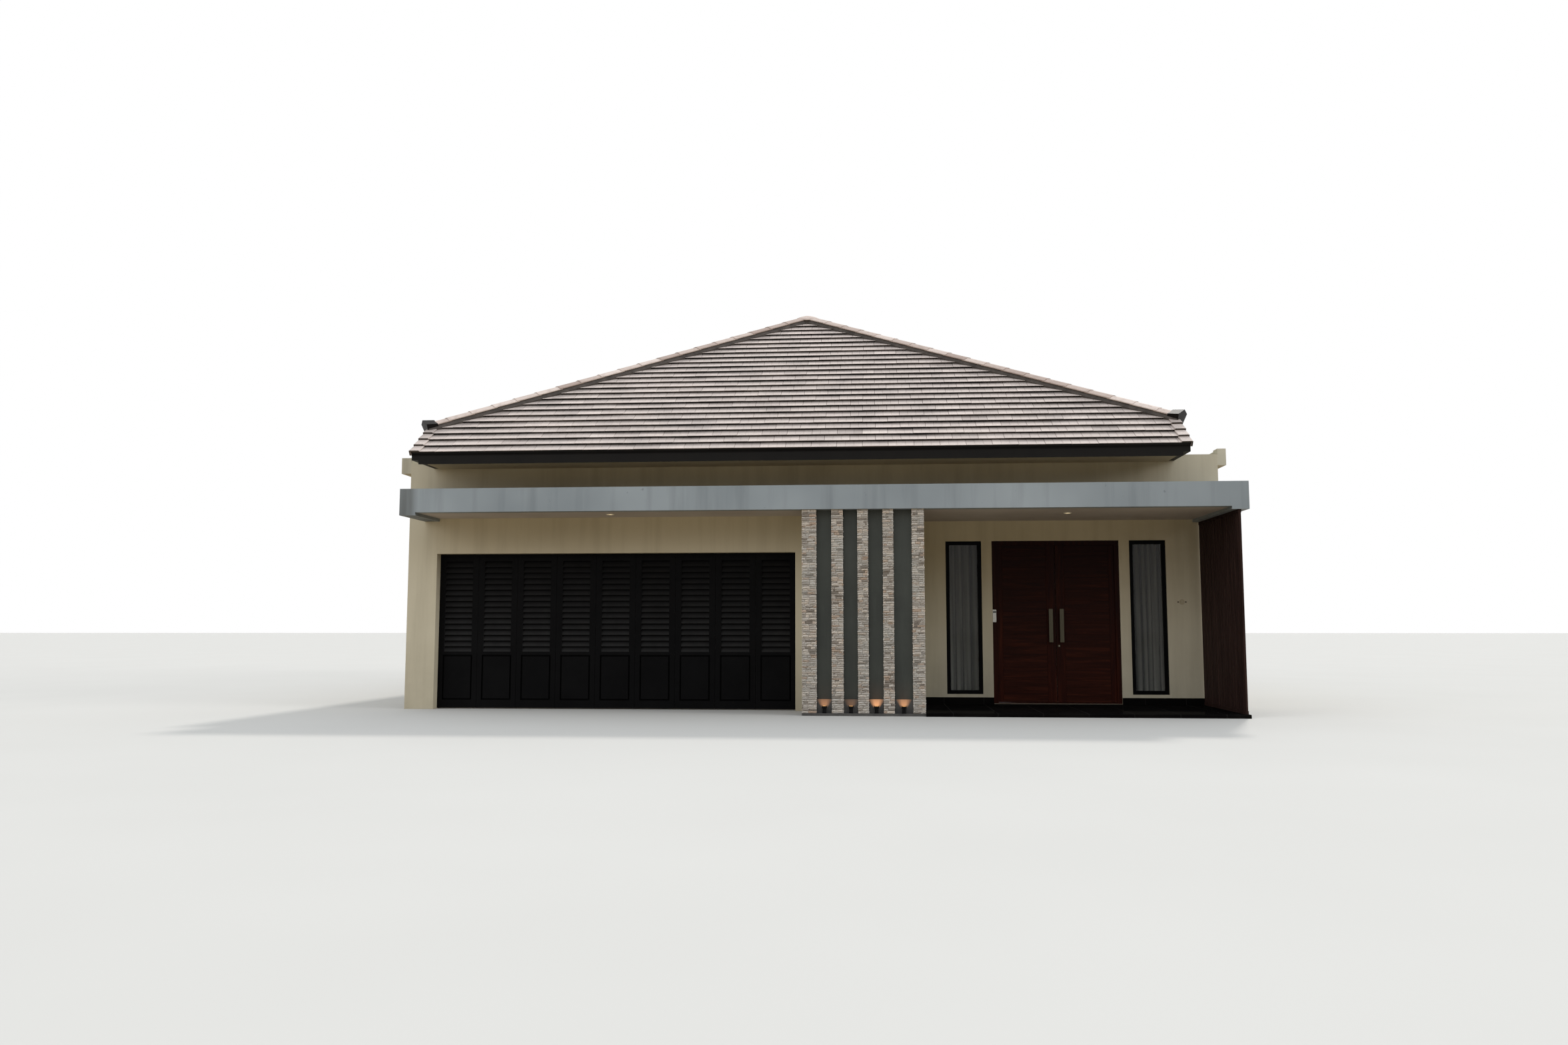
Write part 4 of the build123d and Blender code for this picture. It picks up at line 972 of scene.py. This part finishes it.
def split(start, end, pick, low, high):
    """Random cuts of a length into pieces between low and high."""
    cuts = [start]
    while end - cuts[-1] > high:
        cuts.append(cuts[-1] + pick.uniform(low, high))
    if end - cuts[-1] < low * 0.6 and len(cuts) > 1:
        cuts.pop()
    cuts.append(end)
    return list(zip(cuts, cuts[1:]))


def stone_fins():
    """Each fin's core, with split stones in irregular rows on its front and both its sides."""
    pick = random.Random(77)
    mesher = Mesher()
    for x0, width in FINS:
        x1 = x0 + width
        left, right, front = x0 + 0.01, x1 - 0.01, FIN_FACE + 0.01
        core = (left, front), (right, front), (right, FEATURE_FACE), (left, FEATURE_FACE)
        mesher.loft([[(x, y, z) for x, y in core] for z in (PLINTH, SOFFIT)], 0.1)
        for z0, z1 in split(PLINTH, SOFFIT, pick, 0.016, 0.038):
            for a, b in split(x0, x1, pick, 0.04, 0.12):
                out = pick.uniform(-0.004, 0.005)
                tone = clamped(pick.gauss(0.5, 0.3))
                lo, hi = (a, FIN_FACE - out, z0), (b, FIN_FACE + STONE_SKIN, z1)
                stone_block(mesher, lo, hi, 1, -1, pick, tone)
            for x, outward in ((x0, -1), (x1, 1)):
                out = pick.uniform(-0.004, 0.003)
                tone = clamped(pick.gauss(0.5, 0.3))
                a, b = sorted((x + outward * out, x - outward * STONE_SKIN))
                stone_block(mesher, (a, FIN_FACE + 0.002, z0), (b, FEATURE_FACE, z1), 0, outward, pick, tone)
    mesher.make("ledge_stones", ["ledge_stone"], ["stone_fins"])


stone_fins()


# Uplights and ceiling lights


def niche_uplights():
    """A black lamp on a short post in each niche, with a warm lens on its top."""
    mesher = Mesher()
    up = (0, 0, 1)
    for x, _ in NICHE_LAMPS:
        y = FIN_FACE + 0.038
        mesher.disc((x, y, PLINTH), up, 0.03, 0.008, 28, chamfer=0.0015)
        mesher.disc((x, y, PLINTH + 0.007), up, 0.024, 0.06, 28)
        mesher.disc((x, y, PLINTH + 0.064), up, 0.026, 0.008, 28, far_radius=0.034)
        mesher.disc((x, y, PLINTH + 0.071), up, 0.034, 0.027, 28, chamfer=0.002)
        mesher.disc((x, y, PLINTH + 0.0965), up, 0.026, 0.003, 24, slot=1)
    mesher.make("niche_uplights", ["lamp_black", "niche_lens"], ["niche_lights"])


def ceiling_downlights():
    """A flat trim ring with a recessed warm lens at each place."""
    mesher = Mesher()
    sides = 40
    trim = (0.046, 0.0), (0.046, -0.006), (0.05, -0.011), (0.057, -0.012), (0.06, -0.006), (0.06, 0.0)
    for x, y in ((-2.65, -6.5), (3.915, -6.2)):
        rings = [[(x + a, y + b, SOFFIT + z) for a, b in circle(sides, radius)] for radius, z in trim]
        mesher.loft(rings, ends=False)
        mesher.disc((x, y, SOFFIT - 0.003), (0, 0, 1), 0.047, 0.003, sides, slot=1)
    mesher.make("ceiling_downlights", ["lamp_white", "lamp_lens"], ["ceiling_lights"])


niche_uplights()
ceiling_downlights()


# Entrance: boards between two stiles, hinges on the inner face, sill, keypad and glazing beads, which widen
# the windows' black frames partly as painted shade


def door_boards(side, hand):
    """One leaf: side is -1 for the left one and 1 for the right one, which carries the lock."""
    mesher = Mesher()
    pick = random.Random(40 + side)
    meeting = DOOR_CENTRE + side * 0.004
    edge = DOOR_CENTRE + side * (DOOR_EDGE - 0.005)
    bottom, top = 0.075, 2.467
    y0, y1 = DOOR_FACE, DOOR_FACE + DOOR_THICKNESS
    inner_stile = meeting + side * 0.135
    outer_stile = edge - side * 0.095
    for stile in ((meeting, inner_stile), (outer_stile, edge)):
        a, b = sorted(stile)
        mesher.box((a, y0, bottom), (b, y1, top), pick.uniform(0.35, 0.7), 0.003, 1)
    a, b = sorted((inner_stile, outer_stile))
    pitch = (top - bottom) / BOARDS
    for i in range(BOARDS):
        z = bottom + i * pitch
        mesher.box((a, y0 + 0.0015, z), (b, y1 - 0.0015, z + pitch), pick.uniform(0.3, 0.7))
    x, y = DOOR_CENTRE + side * (DOOR_EDGE - 0.0025), y1 + 0.0114
    a, b = sorted((x, x - side * 0.04))
    for z in (0.3, 1.25, 2.2):
        mesher.disc((x, y, z + 0.0003), (0, 0, 1), 0.011, 0.1, 20, slot=2, chamfer=0.001)
        mesher.box((a, y1, z + 0.0003), (b, y1 + 0.004, z + 0.1), chamfer=0.0008, slot=2)
    if side > 0:
        lock = Vector((DOOR_CENTRE + 0.04, y0, 0.928))
        mesher.disc(lock, (0, -1, 0), 0.019, 0.006, 28, slot=3, chamfer=0.0015)
        mesher.disc(lock + Vector((0, -0.005, 0)), (0, -1, 0), 0.008, 0.004, 20, slot=2)
    mesher.make(
        f"{hand}_door_boards", ["door_boards", "door_stiles", "hinge_metal", "brushed_steel"],
        [f"{hand}_door_leaf"], f"{hand}_leaf",
    )


def threshold():
    """Light metal sill strip on the frame's foot."""
    mesher = Mesher()
    mesher.box((2.955, -4.986, 0.052), (4.87, -4.9805, 0.061))
    mesher.make("sill_strip", ["sill_metal"])


def keypad():
    """White entry keypad on the left post of the door frame, with a dark sensor band near its top."""
    mesher = Mesher()
    x0, x1, z0, z1 = 2.957, 3.011, 1.287, 1.48
    back = -4.98
    mesher.box((x0, back - 0.014, z0), (x1, back, z1), chamfer=0.004)
    band = (x0 + 0.004, back - 0.0158, z1 - 0.05), (x1 - 0.004, back - 0.013, z1 - 0.026)
    mesher.box(*band, chamfer=0.0006, slot=1)
    for row in range(4):
        for column in range(3):
            button = (x0 + 0.013 + column * 0.014, back - 0.0135, z0 + 0.022 + row * 0.025)
            mesher.disc(button, (0, -1, 0), 0.0045, 0.0018, 16, slot=2, chamfer=0.0005)
    looks = ["keypad_white", "dark_plastic", "lamp_white"]
    mesher.make("entry_keypad", looks, ["door_keypad"])


def glazing_beads_and_frame_shade():
    """Black beads inside the frames of the porch windows, in front of the glass, which also stand in for the
    shade at the frames' inner edges.
    """
    mesher = Mesher()
    y0, y1, z0, z1, width, frame_width = -4.966, -4.9445, 0.236, 2.492, 0.02, 0.038
    for left, right in WINDOWS:
        a, b = left + frame_width, right - frame_width
        for x in (a, b - width):
            mesher.box((x, y0, z0), (x + width, y1, z1), chamfer=0.0015)
        for z in (z0, z1 - width):
            mesher.box((a + width, y0, z), (b - width, y1, z + width), chamfer=0.0015)
    mesher.make("glazing_beads_and_frame_shade", ["frame_metal"])


door_boards(-1, "left")
door_boards(1, "right")
threshold()
keypad()
glazing_beads_and_frame_shade()


# Curtains


def curtain(name, x0, x1, seed):
    """A sheer curtain gathered in broad upright folds with narrow creases between them."""
    pick = random.Random(seed)
    z0, z1 = 0.147, 2.568
    y = PORCH_BACK + 0.265
    columns, rows = 180, 26
    bounds = [0.0]
    while bounds[-1] < 1.0:
        bounds.append(bounds[-1] + pick.uniform(0.1, 0.26))
    lean = [pick.uniform(-0.008, 0.008) for _ in bounds]
    points, shades = [], []
    for j in range(rows + 1):
        t = j / rows
        for i in range(columns + 1):
            s = i / columns
            k = max(n for n, edge in enumerate(bounds[:-1]) if edge <= s)
            low = bounds[k] + lean[k] * (1 - t)
            high = bounds[k + 1] + lean[k + 1] * (1 - t)
            swell = math.sin(math.pi * clamped((s - low) / (high - low))) ** 0.45
            ripple = 0.12 * math.sin(40 * s + 5 * lean[k] + 2 * t)
            depth = (high - low) * 0.17 * (1 - 0.25 * t) * (swell + ripple)
            # Painted shade for each face: dark in the creases, evened out towards the top.
            shade = clamped(swell + 2.0 * ripple - 0.1) ** 1.5
            shades.append(shade + (0.6 - shade) * 0.55 * t)
            points.append((x0 + (x1 - x0) * s, y - depth, z0 + (z1 - z0) * t))
    starts = [j * (columns + 1) + i for j in range(rows) for i in range(columns)]
    mesher = Mesher()
    mesher.add(points, [(a, a + 1, a + columns + 2, a + columns + 1) for a in starts])
    mesher.traits = [(shades[a], 0.0, 0) for a in starts]
    obj = mesher.make(name, ["sheer_cloth"], cloth=True)
    return obj


left_curtain = curtain("left_sheer", 2.2, 2.85, 3)
right_curtain = curtain("right_sheer", 4.975, 5.62, 4)
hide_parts("porch_curtains")
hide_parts("porch_curtains")


def wall_marks():
    """Two empty screw plugs and a faint ring on the porch wall."""
    mesher = Mesher()
    out, level = (0, -1, 0), 1.59
    for x in (5.845, 5.73):
        mesher.disc((x, PORCH_BACK, level), out, 0.011, 0.003, 16)
    mesher.disc((5.788, PORCH_BACK, level), out, 0.042, 0.001, 32, slot=1)
    mesher.make("wall_plugs", ["wall_plug", "wall_patch"])


wall_marks()


# Floor, light and camera


def shown_directly(s):
    """Factor that is 1 for what the camera sees, straight, mirrored or through glass."""
    path = s.node("ShaderNodeLightPath").outputs
    mirrored = s.math("MAXIMUM", path["Is Camera Ray"], path["Is Glossy Ray"])
    return s.math("MAXIMUM", mirrored, path["Is Transmission Ray"])


def ground():
    """A pale floor that bounces the warmer, duller light of paving back up to the house."""
    mesh = bpy.data.meshes.new("studio_floor")
    size = 400
    mesh.from_pydata([(-size, -size, 0), (size, -size, 0), (size, size, 0), (-size, size, 0)], [], [range(4)])
    s = Shader("studio_floor", 0.95, 0.1)
    pale = s.blend(s.noise(0.4, 2.0), (0.49, 0.48, 0.46, 1.0), (0.50, 0.49, 0.47, 1.0))
    paving = (0.29, 0.23, 0.15, 1.0)
    mesh.materials.append(s.finish(s.mix(shown_directly(s), paving, pale)))
    obj = placed("studio_floor", mesh)


def background():
    """Shown, mirrored and seen through, the world is plain white; the object's light is a soft dome."""
    world = bpy.data.worlds.new("studio")
    bpy.context.scene.world = world
    world.use_nodes = True
    s = Nodes(world.node_tree)
    s.tree.nodes.clear()
    place = s.node("ShaderNodeTexCoord").outputs["Generated"]
    upward = s.node("ShaderNodeVectorMath", place, (0.1, -0.05, 0.99))
    upward.operation = "DOT_PRODUCT"
    height = upward.outputs["Value"]
    hue = s.ramp(height, (0.1, (1.0, 0.88, 0.72, 1)), (0.6, (0.88, 0.94, 1.0, 1)))
    dome = s.node("ShaderNodeBackground", Color=hue, Strength=s.grey(height, 0.2, 0.5, 0.08, 1.35))
    white = s.node("ShaderNodeBackground", Color=(1, 1, 1, 1), Strength=1.0)
    mix = s.node("ShaderNodeMixShader", shown_directly(s), dome.outputs[0], white.outputs[0])
    s.node("ShaderNodeOutputWorld", Surface=mix.outputs[0])


def lights():
    """A soft key from behind and above, and a weak, broad fill from the front on either side."""
    for name, energy, angle, colour, direction in (
        ("soft_key", 1.8, 5, (1.0, 0.97, 0.92), (-0.25, -0.67, -0.74)),
        ("fill_right", 1.0, 20, (1.0, 0.98, 0.95), (-0.95, 0.25, -0.3)),
        ("fill_left", 0.6, 30, (1.0, 0.98, 0.95), (0.75, 0.5, -0.25)),
    ):
        lamp = bpy.data.lights.new(name, "SUN")
        lamp.energy = energy
        lamp.angle = math.radians(angle)
        lamp.color = colour
        placed(name, lamp).rotation_euler = Vector(direction).to_track_quat("-Z", "Y").to_euler()


def camera():
    """The photo's camera: its place, its turn, and its focal length in pixels of the photo's width."""
    focal_length, photo_width = 1724.19, 2353
    data = bpy.data.cameras.new("camera")
    data.sensor_width = 36
    data.lens = focal_length / photo_width * 36
    data.clip_end = 1000
    obj = placed("camera", data)
    obj.location = (1.1257, -22.8073, 1.1718)
    obj.rotation_euler = (math.radians(95.335), 0, math.radians(4.396))
    bpy.context.scene.camera = obj


ground()
background()
lights()
camera()
bpy.context.scene.view_settings.view_transform = "Standard"
